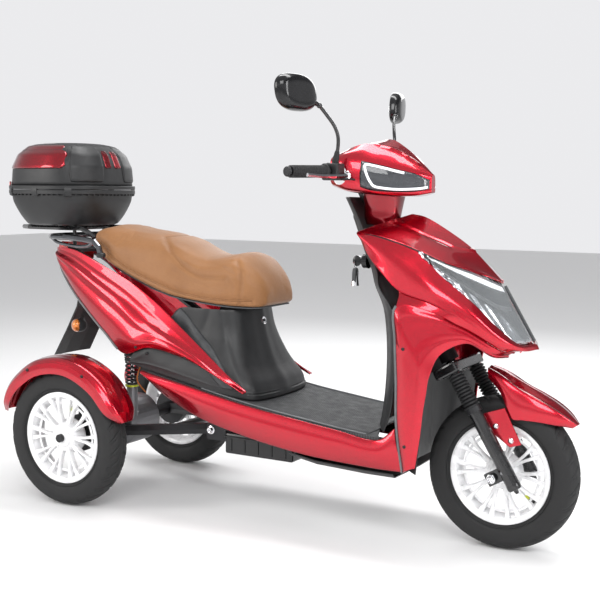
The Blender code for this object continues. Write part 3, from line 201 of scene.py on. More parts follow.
def hatch_group():
    """Two crossing sets of raised lines, for the floor mat. Gives a height."""
    tree, take, give = group("crossed_ribs", [("Pitch", "NodeSocketFloat", 0.008)], [("Height", "NodeSocketFloat")])
    place = tree.nodes.new("ShaderNodeTexCoord").outputs["Object"]
    split = add(tree, "ShaderNodeSeparateXYZ", Vector=place)
    turn = 2 * math.pi
    waves = []
    for sign in (1, -1):
        slope = tree.nodes.new("ShaderNodeMath")
        slope.operation = "MULTIPLY_ADD"
        slope.inputs[1].default_value = sign
        tree.links.new(split.outputs["Y"], slope.inputs[0])
        tree.links.new(split.outputs["X"], slope.inputs[2])
        share = tree.nodes.new("ShaderNodeMath")
        share.operation = "DIVIDE"
        tree.links.new(slope.outputs[0], share.inputs[0])
        tree.links.new(take.outputs["Pitch"], share.inputs[1])
        full = tree.nodes.new("ShaderNodeMath")
        full.operation = "MULTIPLY"
        full.inputs[1].default_value = turn
        tree.links.new(share.outputs[0], full.inputs[0])
        wave = tree.nodes.new("ShaderNodeMath")
        wave.operation = "COSINE"
        tree.links.new(full.outputs[0], wave.inputs[0])
        waves.append(wave)
    top = tree.nodes.new("ShaderNodeMath")
    top.operation = "MAXIMUM"
    tree.links.new(waves[0].outputs[0], top.inputs[0])
    tree.links.new(waves[1].outputs[0], top.inputs[1])
    tree.links.new(top.outputs[0], give.inputs["Height"])
    return tree


GRAIN = grain_group()
HATCH = hatch_group()


def ramp(tree, source, stops):
    node = tree.nodes.new("ShaderNodeValToRGB")
    while len(node.color_ramp.elements) < len(stops):
        node.color_ramp.elements.new(0.5)
    for element, (at, colour) in zip(node.color_ramp.elements, stops):
        element.position = at
        element.color = (*colour, 1)
    tree.links.new(source, node.inputs["Fac"])
    return node.outputs["Color"]


def material(name, **sockets):
    made = bpy.data.materials.new(name)
    made.use_nodes = True
    shader = made.node_tree.nodes["Principled BSDF"]
    for label, value in sockets.items():
        shader.inputs[label.replace("_", " ")].default_value = value
    return made, made.node_tree, shader


def bump(tree, shader, height, distance, strength=1.0):
    node = add(tree, "ShaderNodeBump", Height=height, Strength=strength, Distance=distance)
    tree.links.new(node.outputs["Normal"], shader.inputs["Normal"])
    return node


def candy_paint(name, bright, deep, flake=0.35):
    """Tinted clear lacquer over metallic flakes: bright face on, deep at a glance, glossy on top."""
    made, tree, shader = material(name, Metallic=0.80, Roughness=0.24, Coat_Weight=0.8, Coat_Roughness=0.025,
                                  Coat_IOR=1.55)
    place = tree.nodes.new("ShaderNodeTexCoord").outputs["Object"]
    flakes = add(tree, "ShaderNodeTexVoronoi", Vector=place, Scale=1400.0)
    sparkle = ramp(tree, flakes.outputs["Color"], [(0.25, (1 - flake,) * 3), (0.8, (1 + flake,) * 3)])
    slant = add(tree, "ShaderNodeLayerWeight", Blend=0.32)
    tint = tree.nodes.new("ShaderNodeMix")
    tint.data_type = "RGBA"
    tree.links.new(slant.outputs["Facing"], tint.inputs["Factor"])
    tint.inputs[6].default_value = (*bright, 1)
    tint.inputs[7].default_value = (*deep, 1)
    both = tree.nodes.new("ShaderNodeMix")
    both.data_type = "RGBA"
    both.blend_type = "MULTIPLY"
    both.inputs["Factor"].default_value = 1
    tree.links.new(tint.outputs[2], both.inputs[6])
    tree.links.new(sparkle, both.inputs[7])
    tree.links.new(both.outputs[2], shader.inputs["Base Color"])
    bump(tree, shader, flakes.outputs["Distance"], 0.00004, 0.25)
    return made


def moulded_plastic(name, colour, rough, scale=1100.0, depth=0.00012, pebble=0.7):
    """Black or grey plastic with a fine moulded grain and slightly uneven sheen."""
    made, tree, shader = material(name, Roughness=rough, Specular_IOR_Level=0.45)
    grain = tree.nodes.new("ShaderNodeGroup")
    grain.node_tree = GRAIN
    grain.inputs["Scale"].default_value = scale
    grain.inputs["Pebble"].default_value = pebble
    low, high = [tuple(c * k for c in colour) for k in (0.82, 1.2)]
    tree.links.new(ramp(tree, grain.outputs["Mottle"], [(0.3, low), (0.7, high)]), shader.inputs["Base Color"])
    tree.links.new(ramp(tree, grain.outputs["Mottle"], [(0.3, (rough * 0.88,) * 3), (0.7, (rough * 1.1,) * 3)]),
                   shader.inputs["Roughness"])
    bump(tree, shader, grain.outputs["Height"], depth)
    return made


def smooth_metal(name, colour, rough, metallic=1.0, coat=0.0):
    """Painted or polished metal with faint unevenness and handling marks."""
    made, tree, shader = material(name, Metallic=metallic, Coat_Weight=coat, Coat_Roughness=0.06)
    grain = tree.nodes.new("ShaderNodeGroup")
    grain.node_tree = GRAIN
    grain.inputs["Scale"].default_value = 240.0
    grain.inputs["Pebble"].default_value = 0.12
    low, high = [tuple(min(1.0, c * k) for c in colour) for k in (0.9, 1.08)]
    tree.links.new(ramp(tree, grain.outputs["Mottle"], [(0.35, low), (0.65, high)]), shader.inputs["Base Color"])
    tree.links.new(ramp(tree, grain.outputs["Mottle"], [(0.3, (rough * 0.8,) * 3), (0.7, (rough * 1.25,) * 3)]),
                   shader.inputs["Roughness"])
    bump(tree, shader, grain.outputs["Height"], 0.00003)
    return made


def seat_leather():
    """Tan vinyl leather: pebbled cells, soft creases, darker in the low grain and a dull sheen."""
    made, tree, shader = material("tan_leather", Roughness=0.5, Specular_IOR_Level=0.4, Sheen_Weight=0.12)
    place = tree.nodes.new("ShaderNodeTexCoord").outputs["Object"]
    cells = add(tree, "ShaderNodeTexVoronoi", Vector=place, Scale=420.0, Randomness=0.9)
    cells.feature = "DISTANCE_TO_EDGE"
    slow = add(tree, "ShaderNodeTexNoise", Vector=place, Scale=9.0, Detail=6.0, Roughness=0.6)
    colour = ramp(tree, slow.outputs["Fac"], [(0.3, (0.270, 0.118, 0.040)), (0.7, (0.335, 0.152, 0.055))])
    grain = ramp(tree, cells.outputs["Distance"], [(0.0, (0.74,) * 3), (0.14, (1.0,) * 3)])
    both = tree.nodes.new("ShaderNodeMix")
    both.data_type = "RGBA"
    both.blend_type = "MULTIPLY"
    both.inputs["Factor"].default_value = 0.7
    tree.links.new(colour, both.inputs[6])
    tree.links.new(grain, both.inputs[7])
    tree.links.new(both.outputs[2], shader.inputs["Base Color"])
    height = tree.nodes.new("ShaderNodeMath")
    height.operation = "MULTIPLY_ADD"
    tree.links.new(slow.outputs["Fac"], height.inputs[0])
    height.inputs[1].default_value = 0.6
    tree.links.new(grain, height.inputs[2])
    bump(tree, shader, height.outputs[0], 0.00035, 0.7)
    return made


def floor_mat():
    """Dark grey rubber with fine crossed ribs, the rib tops painted lighter and the grooves painted darker as shade."""
    made, tree, shader = material("ribbed_rubber", Roughness=0.62, Specular_IOR_Level=0.4)
    ribs = tree.nodes.new("ShaderNodeGroup")
    ribs.node_tree = HATCH
    grain = tree.nodes.new("ShaderNodeGroup")
    grain.node_tree = GRAIN
    # Colour follows the rib height: painted light on the rib tops and painted shade in the grooves.
    tree.links.new(ramp(tree, ribs.outputs["Height"], [(0.2, (0.018, 0.019, 0.02)), (0.95, (0.075, 0.078, 0.082))]),
                   shader.inputs["Base Color"])
    tree.links.new(ramp(tree, grain.outputs["Mottle"], [(0.3, (0.5,) * 3), (0.7, (0.72,) * 3)]),
                   shader.inputs["Roughness"])
    bump(tree, shader, ribs.outputs["Height"], 0.0007, 0.8)
    return made


def clear_plastic(name, tint, rough=0.03, alpha=0.35):
    """Thin clear moulding: mostly see-through face on, glossy at a glance."""
    made, tree, shader = material(name, Roughness=rough, Coat_Weight=0.6, Coat_Roughness=0.02, IOR=1.5)
    grain = tree.nodes.new("ShaderNodeGroup")
    grain.node_tree = GRAIN
    low, high = tuple(c * 0.93 for c in tint), tint
    tree.links.new(ramp(tree, grain.outputs["Mottle"], [(0.3, low), (0.7, high)]), shader.inputs["Base Color"])
    slant = add(tree, "ShaderNodeLayerWeight", Blend=0.35)
    cover = tree.nodes.new("ShaderNodeMath")
    cover.operation = "MULTIPLY_ADD"
    tree.links.new(slant.outputs["Facing"], cover.inputs[0])
    cover.inputs[1].default_value = 0.35
    cover.inputs[2].default_value = alpha
    tree.links.new(cover.outputs[0], shader.inputs["Alpha"])
    return made


def lit_plastic(name, colour, glow):
    made, tree, shader = material(name, Roughness=0.25, Coat_Weight=0.5, Emission_Strength=glow)
    grain = tree.nodes.new("ShaderNodeGroup")
    grain.node_tree = GRAIN
    grain.inputs["Scale"].default_value = 380.0
    tone = ramp(tree, grain.outputs["Height"], [(0.3, tuple(c * 0.85 for c in colour)), (1.0, colour)])
    tree.links.new(tone, shader.inputs["Base Color"])
    tree.links.new(tone, shader.inputs["Emission Color"])
    bump(tree, shader, grain.outputs["Height"], 0.0002)
    return made


def prism_lens(name, colour, pitch=260.0):
    """A reflector moulding: a grid of small facets under clear plastic."""
    made, tree, shader = material(name, Roughness=0.12, Metallic=0.35, Coat_Weight=1.0, Coat_Roughness=0.02)
    place = tree.nodes.new("ShaderNodeTexCoord").outputs["Object"]
    cells = add(tree, "ShaderNodeTexVoronoi", Vector=place, Scale=pitch, Randomness=0.25)
    tone = ramp(tree, cells.outputs["Color"], [(0.2, tuple(c * 0.45 for c in colour)), (0.8, colour)])
    tree.links.new(tone, shader.inputs["Base Color"])
    bump(tree, shader, cells.outputs["Distance"], 0.0015, 0.8)
    return made


RED = candy_paint("candy_red", (0.58, 0.0, 0.018), (0.075, 0.0, 0.003))
# A darker copy of the red paint for the cowl neck under the cowl, the lid panels and the horn button: painted shade.
SHADED_RED = candy_paint("candy_red_shaded", (0.33, 0.0, 0.010), (0.05, 0.0, 0.002))
BLACK = moulded_plastic("black_moulding", (0.017, 0.0175, 0.0185), 0.46)
GREY = moulded_plastic("grey_moulding", (0.05, 0.052, 0.055), 0.42)
TRIM = moulded_plastic("grey_trim", (0.13, 0.135, 0.14), 0.34, depth=0.00005)
GLOSS = moulded_plastic("gloss_black", (0.008, 0.008, 0.009), 0.14, depth=0.00002)
MAT = floor_mat()
LEATHER = seat_leather()
THREAD = moulded_plastic("tan_thread", (0.24, 0.115, 0.045), 0.7, scale=2600.0)
TYRE = moulded_plastic("tyre_rubber", (0.0125, 0.0125, 0.013), 0.68, scale=700.0, depth=0.0002)
GRIP = moulded_plastic("grip_rubber", (0.012, 0.012, 0.013), 0.6, scale=1500.0, depth=0.0002)
WHITE = smooth_metal("white_rim_enamel", (0.86, 0.86, 0.87), 0.28, metallic=0.0, coat=0.7)
STEEL = smooth_metal("black_enamel", (0.009, 0.009, 0.01), 0.26, metallic=0.1, coat=0.7)
SATIN = smooth_metal("satin_black_steel", (0.018, 0.018, 0.02), 0.42, metallic=0.3)
CHROME = smooth_metal("bright_steel", (0.74, 0.74, 0.76), 0.12)
DARK_CHROME = smooth_metal("dark_chrome", (0.16, 0.165, 0.175), 0.16)
ALLOY = smooth_metal("cast_alloy", (0.22, 0.22, 0.23), 0.45, metallic=0.8)
CLEAR = clear_plastic("clear_cover", (0.55, 0.58, 0.60), alpha=0.07)
SMOKE = clear_plastic("smoked_cover", (0.10, 0.105, 0.115), alpha=0.55)
DRL = lit_plastic("light_guide", (0.93, 0.95, 0.97), 0.35)
REFLECTOR = smooth_metal("lamp_reflector", (0.62, 0.64, 0.67), 0.16)
RED_LENS = prism_lens("red_reflector", (0.75, 0.02, 0.015), 330.0)
AMBER = prism_lens("amber_lens", (0.85, 0.24, 0.02), 300.0)
YELLOW = moulded_plastic("yellow_green_cap", (0.45, 0.5, 0.03), 0.4)
ORANGE = moulded_plastic("orange_cable", (0.42, 0.12, 0.02), 0.5)
GLASS = smooth_metal("mirror_glass", (0.85, 0.87, 0.9), 0.03)

floor = bpy.data.objects.new("floor", bpy.data.meshes.new("floor"))
bm = bmesh.new()
bmesh.ops.create_grid(bm, x_segments=1, y_segments=1, size=14)
bm.to_mesh(floor.data)
bm.free()
bpy.context.collection.objects.link(floor)
floor_paint, _, floor_shader = material("studio_floor", Roughness=0.6)
floor_shader.inputs["Base Color"].default_value = (0.94, 0.94, 0.94, 1)
floor.data.materials.append(floor_paint)


# Shape helpers: smooth grids, walls, turned pieces, tubes and fixings.

def refine(line, times):
    """More points on a smooth curve through the given ones, spaced by their distances apart."""
    line = np.asarray(line, float)
    count = len(line)
    if count < 3 or times < 2:
        share = np.linspace(0, count - 1, (count - 1) * max(times, 1) + 1)
        low = np.minimum(share.astype(int), count - 2)
        t = (share - low).reshape((-1,) + (1,) * (line.ndim - 1))
        return line[low] * (1 - t) + line[low + 1] * t
    steps = np.diff(line, axis=0)
    gaps = np.sqrt(np.maximum(np.linalg.norm(steps, axis=-1).reshape(count - 1, -1).mean(axis=1), 1e-6))
    slope = steps / gaps.reshape((-1,) + (1,) * (line.ndim - 1))
    tangent = np.empty_like(line)
    tangent[0], tangent[-1] = slope[0], slope[-1]
    for i in range(1, count - 1):
        tangent[i] = (slope[i - 1] * gaps[i] + slope[i] * gaps[i - 1]) / (gaps[i - 1] + gaps[i])
    made = []
    for i in range(count - 1):
        for step in range(times):
            t = step / times
            made.append((2 * t**3 - 3 * t**2 + 1) * line[i] + (t**3 - 2 * t**2 + t) * gaps[i] * tangent[i]
                        + (3 * t**2 - 2 * t**3) * line[i + 1] + (t**3 - t**2) * gaps[i] * tangent[i + 1])
    made.append(line[-1])
    return np.array(made)


def fine_grid(rows, along=6, across=6):
    """A dense grid of points through a coarse one."""
    coarse = np.asarray(rows, float)
    return np.swapaxes(refine(np.swapaxes(refine(coarse, along), 0, 1), across), 0, 1)


def flipped(grid):
    """The same grid on the other side of the middle plane."""
    return np.asarray(grid, float) * np.array([1, -1, 1])


def relief(grid, height):
    """The grid pushed along its normals by height(share along, share across)."""
    du = np.gradient(grid, axis=0)
    dv = np.gradient(grid, axis=1)
    normal = np.cross(du, dv)
    normal /= np.maximum(np.linalg.norm(normal, axis=2, keepdims=True), 1e-9)
    s = np.linspace(0, 1, grid.shape[0])[:, None]
    t = np.linspace(0, 1, grid.shape[1])[None, :]
    return grid + normal * height(s, t)[:, :, None]


def ridge(value, middle, width):
    """A rounded bump of height 1 at the middle, falling to 0 a width away."""
    return np.exp(-(((value - middle) / width) ** 2))


def put(name, bm, finish, body, smooth=40, stands_for=()):
    """Makes an object of a bmesh, gives it its material and joins it to its body."""
    data = bpy.data.meshes.new(name)
    bm.to_mesh(data)
    bm.free()
    if smooth:
        data.shade_smooth()
        data.set_sharp_from_angle(angle=math.radians(smooth))
    data.materials.append(finish)
    made = bpy.data.objects.new(name, data)
    bpy.context.collection.objects.link(made)
    if stands_for:
        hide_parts(*stands_for)
    if body:
        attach(made, body)
    return made


def grid_faces(bm, grid, closed=False):
    verts = [[bm.verts.new(tuple(map(float, point))) for point in row] for row in grid]
    for low, high in zip(verts, verts[1:]):
        count = len(low)
        for i in range(count if closed else count - 1):
            j = (i + 1) % count
            if len({low[i], low[j], high[j], high[i]}) == 4:
                bm.faces.new((low[i], low[j], high[j], high[i]))
    return verts


def skin(name, grids, finish, body, inside, origin=REAR, wall=0.0028, edge=0.0009, smooth=32, stands_for=(),
         seam=0.0004):
    """A moulded cover: smooth grids joined at their shared edges, given a wall inwards and a soft rim."""
    bm = bmesh.new()
    for grid in grids:
        grid_faces(bm, np.asarray(grid) + np.array(origin))
    bmesh.ops.remove_doubles(bm, verts=bm.verts, dist=seam)
    bmesh.ops.recalc_face_normals(bm, faces=bm.faces)
    centre = Vector(origin) + Vector(inside)
    facing = sum(face.normal.dot(face.calc_center_median() - centre) * face.calc_area() for face in bm.faces)
    if facing < 0:
        bmesh.ops.reverse_faces(bm, faces=bm.faces)
    made = put(name, bm, finish, body, smooth, stands_for)
    solid = made.modifiers.new("wall", "SOLIDIFY")
    solid.thickness = wall
    solid.offset = -1
    if edge:
        rim = made.modifiers.new("rim", "BEVEL")
        rim.width = edge
        rim.segments = 2
        rim.limit_method = "ANGLE"
        rim.angle_limit = math.radians(55)
    return made


def solid_loft(name, loops, finish, body, along=1, smooth=40, stands_for=(), edge=0.0):
    """A solid through closed loops of points in world space, with flat ends."""
    loops = refine(np.asarray(loops, float), along)
    bm = bmesh.new()
    verts = grid_faces(bm, loops, closed=True)
    bm.faces.new(list(reversed(verts[0])))
    bm.faces.new(verts[-1])
    bmesh.ops.recalc_face_normals(bm, faces=bm.faces)
    made = put(name, bm, finish, body, smooth, stands_for)
    if edge:
        rim = made.modifiers.new("rim", "BEVEL")
        rim.width = edge
        rim.segments = 2
        rim.limit_method = "ANGLE"
        rim.angle_limit = math.radians(40)
    return made


def turned(name, profile, finish, body, at, axis, sides=48, smooth=35, stands_for=(), along=1):
    """A closed or open (radius, height) profile turned about an axis; radius 0 ends are closed points."""
    profile = refine(np.asarray(profile, float), along)
    turn = Vector(axis).to_track_quat("Z", "Y").to_matrix()
    bm = bmesh.new()
    rings = []
    for radius, height in profile:
        if radius < 1e-6:
            rings.append([bm.verts.new(Vector(at) + turn @ Vector((0, 0, height)))])
            continue
        rings.append([bm.verts.new(Vector(at) + turn @ Vector((radius * math.cos(a), radius * math.sin(a), height)))
                      for a in (2 * math.pi * k / sides for k in range(sides))])
    for low, high in zip(rings, rings[1:]):
        for i in range(sides):
            j = (i + 1) % sides
            corners = [low[i % len(low)], low[j % len(low)], high[j % len(high)], high[i % len(high)]]
            corners = [v for k, v in enumerate(corners) if v not in corners[:k]]
            if len(corners) > 2:
                bm.faces.new(corners)
    bmesh.ops.remove_doubles(bm, verts=bm.verts, dist=0.00001)
    bmesh.ops.recalc_face_normals(bm, faces=bm.faces)
    return put(name, bm, finish, body, smooth, stands_for)


def pipe(name, points, radius, finish, body, times=6, stands_for=(), sides=5):
    """A round tube, bead or wire along a smooth line of world points."""
    curve = bpy.data.curves.new(name, "CURVE")
    curve.dimensions = "3D"
    curve.bevel_depth = radius
    curve.bevel_resolution = sides
    curve.use_fill_caps = True
    curve.twist_mode = "MINIMUM"
    line = refine([tuple(p) for p in points], times)
    spline = curve.splines.new("POLY")
    spline.points.add(len(line) - 1)
    for target, point in zip(spline.points, line):
        target.co = (*point, 1)
    spline.use_smooth = True
    guide = bpy.data.objects.new(name + "_line", curve)
    bpy.context.collection.objects.link(guide)
    data = bpy.data.meshes.new_from_object(guide.evaluated_get(bpy.context.evaluated_depsgraph_get()))
    bpy.data.objects.remove(guide)
    data.name = name
    data.materials.clear()
    data.materials.append(finish)
    made = bpy.data.objects.new(name, data)
    bpy.context.collection.objects.link(made)
    if stands_for:
        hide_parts(*stands_for)
    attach(made, body)
    return made


def bolt(name, at, axis, radius, body, finish=CHROME, head="hex"):
    """A flanged bolt head: a washer face, a hexagon or a button, and a dished top."""
    axis = Vector(axis).normalized()
    turn = axis.to_track_quat("Z", "Y").to_matrix()
    bm = bmesh.new()
    rings = [(1.0, 0.0, 24), (1.0, 0.22, 24), (0.86, 0.3, 24)]
    rings += [(0.70, 0.3, 6), (0.70, 0.78, 6), (0.60, 0.9, 6)] if head == "hex" else [(0.8, 0.55, 24), (0.5, 0.75, 24)]
    rings += [(0.34, 0.8, 24), (0.28, 0.55, 24)]
    loops = []
    for share, height, corners in rings:
        loop = []
        for k in range(24):
            angle = 2 * math.pi * k / 24
            reach = share
            if corners == 6:
                reach = share * math.cos(math.pi / 6) / math.cos((angle % (math.pi / 3)) - math.pi / 6) * 1.1
            loop.append(bm.verts.new(Vector(at) + turn @ Vector((radius * reach * math.cos(angle),
                                                                radius * reach * math.sin(angle), radius * height))))
        loops.append(loop)
    for low, high in zip(loops, loops[1:]):
        for i in range(24):
            j = (i + 1) % 24
            bm.faces.new((low[i], low[j], high[j], high[i]))
    bm.faces.new(list(reversed(loops[0])))
    bm.faces.new(loops[-1])
    bmesh.ops.recalc_face_normals(bm, faces=bm.faces)
    return put(name, bm, finish, body, 30)


def dress(finish, *names):
    """Gives CAD nodes that keep their shape a detailed material."""
    for name in names:
        node = frame["nodes"][name]
        node.data.materials.clear()
        node.data.materials.append(finish)


def side_name(side):
    return "right" if side < 0 else "left"


# Wheels: black treaded tyres on white cast rims with ten pairs of spokes. The tyre is rubber on a bead seat,
# the rim one enamelled casting, with a valve in the barrel.

TREAD_CUTS = 30
TREAD_DEPTH = 0.0032
SPOKE_PAIRS = 10


def wheel_sizes(tag):
    low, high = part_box(tag + "_tyre")
    rim_low, rim_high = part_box(tag + "_rim")
    return ((high[2] - low[2]) / 2, (high[1] - low[1]) / 2,
            (rim_high[2] - rim_low[2]) / 2, (rim_high[1] - rim_low[1]) / 2)


def tyre(tag, centre, body):
    """A tyre carcass with raised side bands and slanting tread cuts that lean forward on both shoulders."""
    radius, half_width, flange, rim_half = wheel_sizes(tag)
    bead = flange - 0.002
    seat = rim_half - 0.007
    profile = [(bead - 0.010, seat - 0.004), (bead, seat + 0.0015), (flange + 0.004, seat + 0.004),
               (flange + 0.012, half_width - 0.0035), (flange + 0.026, half_width - 0.0006),
               (radius - 0.026, half_width - 0.0010), (radius - 0.015, half_width * 0.90),
               (radius - 0.0075, half_width * 0.72), (radius - 0.0028, half_width * 0.46),
               (radius - 0.0006, half_width * 0.2), (radius, 0)]
    half = refine(np.array(profile), 4)
    outer = np.vstack([half, (half * np.array([1, -1]))[::-1][1:]])
    inner = [(bead - 0.012, -seat + 0.012), (radius - 0.030, -half_width * 0.6), (radius - 0.016, 0),
             (radius - 0.030, half_width * 0.6), (bead - 0.012, seat - 0.012)]
    loop = np.vstack([outer, np.array(inner)])
    around = 480
    bm = bmesh.new()
    grid = []
    for k in range(around + 1):
        angle = 2 * math.pi * (k % around) / around
        row = []
        for r, y in loop:
            tread = max(0.0, min(1.0, (r - (radius - 0.021)) / 0.006))
            lean = abs(y) / half_width
            phase = angle / (2 * math.pi) * TREAD_CUTS + (0.5 if y > 0 else 0) - 0.9 * lean ** 1.6
            gap = abs((phase % 1.0) - 0.5) * 2
            cut_width = 0.20 if lean > 0.16 else 0.0
            long_cut = max(0.0, min(1.0, (cut_width - gap) / 0.07)) * tread
            second = abs(((phase * 1.0 + 0.5 + 0.35 * lean) % 1.0) - 0.5) * 2
            short_cut = max(0.0, min(1.0, ((0.15 if 0.52 < lean < 0.9 else 0.0) - second) / 0.07)) * tread
            groove = max(0.0, 1 - abs(lean - 0.07) / 0.035) * tread * 0.6
            r = r - TREAD_DEPTH * max(long_cut, short_cut * 0.8, groove)
            row.append((centre.x + r * math.sin(angle), centre.y + y, centre.z + r * math.cos(angle)))
        grid.append(row)
    grid_faces(bm, grid, closed=True)
    bmesh.ops.remove_doubles(bm, verts=bm.verts, dist=0.00001)
    bmesh.ops.recalc_face_normals(bm, faces=bm.faces)
    put(tag + "_treaded_tyre", bm, TYRE, body, 30, [tag + "_tyre"])
    for side in (-1, 1):
        for at, bead_radius in ((flange + 0.0075, 0.0012), (radius - 0.034, 0.0008)):
            lift = half_width - 0.0034 if at < radius - 0.05 else half_width - 0.0004
            ring = [(centre.x + at * math.sin(a), centre.y + side * (lift - 0.0006), centre.z + at * math.cos(a))
                    for a in (2 * math.pi * k / 96 for k in range(97))]
            pipe("%s_sidewall_bead_%s_%d" % (tag, side_name(side), round(at * 1000)), ring, bead_radius, TYRE, body, 1)


def spoke(bm, centre, angle, spread, inner, outer, face_in, face_out, depth, side):
    """One tapered bar from the hub to the barrel, leaning by spread on the way out."""
    rows = []
    for share in np.linspace(0, 1, 9):
        r = inner + (outer - inner) * share
        a = angle + spread * (0.25 + 0.75 * share)
        out = Vector((math.sin(a), 0, math.cos(a)))
        across = Vector((math.cos(a), 0, -math.sin(a)))
        width = 0.0062 - 0.0022 * math.sin(math.pi * min(share * 1.1, 1)) + 0.0022 * share**6
        face = face_in + (face_out - face_in) * share**1.5
        back = face - depth * (1 - 0.25 * share)
        loop = []
        for u, v in ((-1, 0), (-0.96, 0.8), (-0.6, 1), (0.6, 1), (0.96, 0.8), (1, 0)):
            y = back + (face - back) * v
            loop.append(centre + out * r + across * (u * width) + Vector((0, side * y, 0)))
        rows.append(loop)
    verts = grid_faces(bm, rows, closed=True)
    bm.faces.new(verts[0])
    bm.faces.new(list(reversed(verts[-1])))


def rim(tag, centre, body, side):
    """Barrel, hub and spokes as one casting. Spokes sit nearer the outer face, and a drum back closes the other."""
    radius, half_width, flange, rim_half = wheel_sizes(tag)
    well = flange - 0.022
    lip = [(flange - 0.0035, rim_half - 0.0005), (flange - 0.0008, rim_half - 0.0018), (flange, rim_half - 0.004),
           (flange - 0.002, rim_half - 0.0065)]
    outside = lip + [(flange - 0.013, rim_half - 0.007), (flange - 0.0135, rim_half - 0.016), (well, 0.006)]
    outside += [(r, -y) for r, y in reversed(outside)]
    inside = [(well - 0.004, 0), (flange - 0.0185, rim_half - 0.018), (flange - 0.0165, rim_half - 0.006),
              (flange - 0.012, rim_half - 0.0022), (flange - 0.006, rim_half - 0.0004)]
    inside = [(r, -y) for r, y in reversed(inside)] + inside[1:]
    turned(tag + "_rim_barrel", outside + inside + [outside[0]], WHITE, body, centre, (0, 1, 0), 96, 28, [tag + "_rim"])
    bm = bmesh.new()
    for pair in range(SPOKE_PAIRS):
        angle = 2 * math.pi * (pair + 0.5) / SPOKE_PAIRS
        for lean in (-1, 1):
            spoke(bm, centre, angle, lean * 0.135, 0.040, flange - 0.0155, rim_half - 0.013, rim_half - 0.008, 0.017,
                  side)
    bmesh.ops.recalc_face_normals(bm, faces=bm.faces)
    spokes = put(tag + "_rim_spokes", bm, WHITE, body, 30)
    soften = spokes.modifiers.new("cast_edges", "BEVEL")
    soften.width = 0.001
    soften.segments = 2
    soften.limit_method = "ANGLE"
    axis = (0, side, 0)
    hub = [(0.0125, -0.020), (0.052, -0.020), (0.054, -0.012), (0.050, -0.002), (0.047, 0.010),
           (0.043, rim_half - 0.014),
           (0.041, rim_half - 0.011), (0.030, rim_half - 0.009), (0.028, rim_half - 0.004), (0.024, rim_half - 0.001),
           (0.0125, rim_half - 0.001), (0.0125, -0.020)]
    turned(tag + "_rim_hub", hub, WHITE, body, centre, axis, 48, 30)
    ring = [(flange - 0.040, rim_half - 0.021), (flange - 0.036, rim_half - 0.0195), (flange - 0.032, rim_half - 0.021),
            (flange - 0.036, rim_half - 0.025), (flange - 0.040, rim_half - 0.021)]
    turned(tag + "_rim_web_ring", ring, WHITE, body, centre, axis, 72, 30)
    for number in range(5):
        angle = 2 * math.pi * number / 5
        at = centre + Vector((0.036 * math.sin(angle), side * (rim_half - 0.0105), 0.036 * math.cos(angle)))
        bolt("%s_hub_bolt_%d" % (tag, number), at, axis, 0.0045, body, WHITE)
    valve = math.radians(128 if tag == "front" else 20)
    out = Vector((math.sin(valve), 0, math.cos(valve)))
    base = centre + out * (well - 0.003) + Vector((0, side * 0.006, 0))
    tip = base - out * 0.026 + Vector((0, side * 0.010, 0))
    turned(tag + "_valve_stem", [(0.0045, 0), (0.0038, 0.006), (0.0027, 0.009), (0.0026, 0.021), (0.0001, 0.0215)],
           GRIP,
           body, base, tip - base, 16)
    turned(tag + "_valve_cap", [(0.0033, 0.017), (0.0042, 0.0175), (0.0042, 0.027), (0.003, 0.0295), (0.0001, 0.03)],
           YELLOW, body, base, tip - base, 16)


for tag, centre, body, side in (("front", FRONT, "front_wheel", -1),
                                ("rear_right", REAR - Vector((0, HALF_TRACK, 0)), "rear_wheel_right", -1),
                                ("rear_left", REAR + Vector((0, HALF_TRACK, 0)), "rear_wheel_left", 1)):
    tyre(tag, centre, body)
    rim(tag, centre, body, side)


# Fork: black enamelled lower legs that slide on bright stanchions under ribbed rubber bellows.
# The axle runs through their lugs, and the mudguard plate is bolted to them.

dress(STEEL, "fork_leg_left", "fork_leg_right", "steering_stem")
dress(CHROME, "front_axle")
LEG_Y = abs(node_centre("fork_leg_left").y)
LEG_AHEAD = 0.028
LEG_TOP = 0.190
YOKE_LOW = 0.292
BELLOWS = 11


def fork_dressing(side):
    tag = side_name(side)
    y = side * LEG_Y
    rings = []
    steps = 12
    for k in range(steps * BELLOWS + 1):
        share = k / (steps * BELLOWS)
        wave = abs(math.sin(math.pi * BELLOWS * share)) ** 0.7
        rings.append((0.0165 + 0.0055 * wave + 0.001 * (1 - share), LEG_TOP - 0.002 + (YOKE_LOW - LEG_TOP) * share))
    bellows = turned("fork_bellows_" + tag, rings, GRIP, None, fork(0, LEG_AHEAD, y), STEER_UP, 32, 50)
    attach(bellows, "steering")
    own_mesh(bellows)
    collar = [(0.0195, -0.014), (0.0215, -0.013), (0.0215, 0.001), (0.0195, 0.003), (0.0150, 0.003)]
    turned("fork_seal_" + tag, collar, SATIN, "fork_lowers", fork(LEG_TOP - 0.002, LEG_AHEAD, y), STEER_UP, 32)
    foot = [(0.0001, -0.0085), (0.006, -0.0085), (0.0065, -0.003), (0.0165, -0.0025), (0.0196, 0.0025), (0.0196, 0.012)]
    turned("fork_foot_" + tag, foot, STEEL, "fork_lowers", fork(-0.050, LEG_AHEAD, y), STEER_UP, 32)
    bolt("fork_foot_bolt_" + tag, fork(-0.0585, LEG_AHEAD, y), -STEER_UP, 0.006, "fork_lowers", SATIN)
    axle_end = FRONT + Vector((0, side * (LEG_Y + 0.018), 0))
    bolt("axle_nut_" + tag, axle_end, (0, side, 0), 0.0125, "fork_lowers", CHROME)


for side in (-1, 1):
    fork_dressing(side)

# Front mudguard: a red channel over the tyre with a raised tail, side plates down to the legs and a pointed tip.

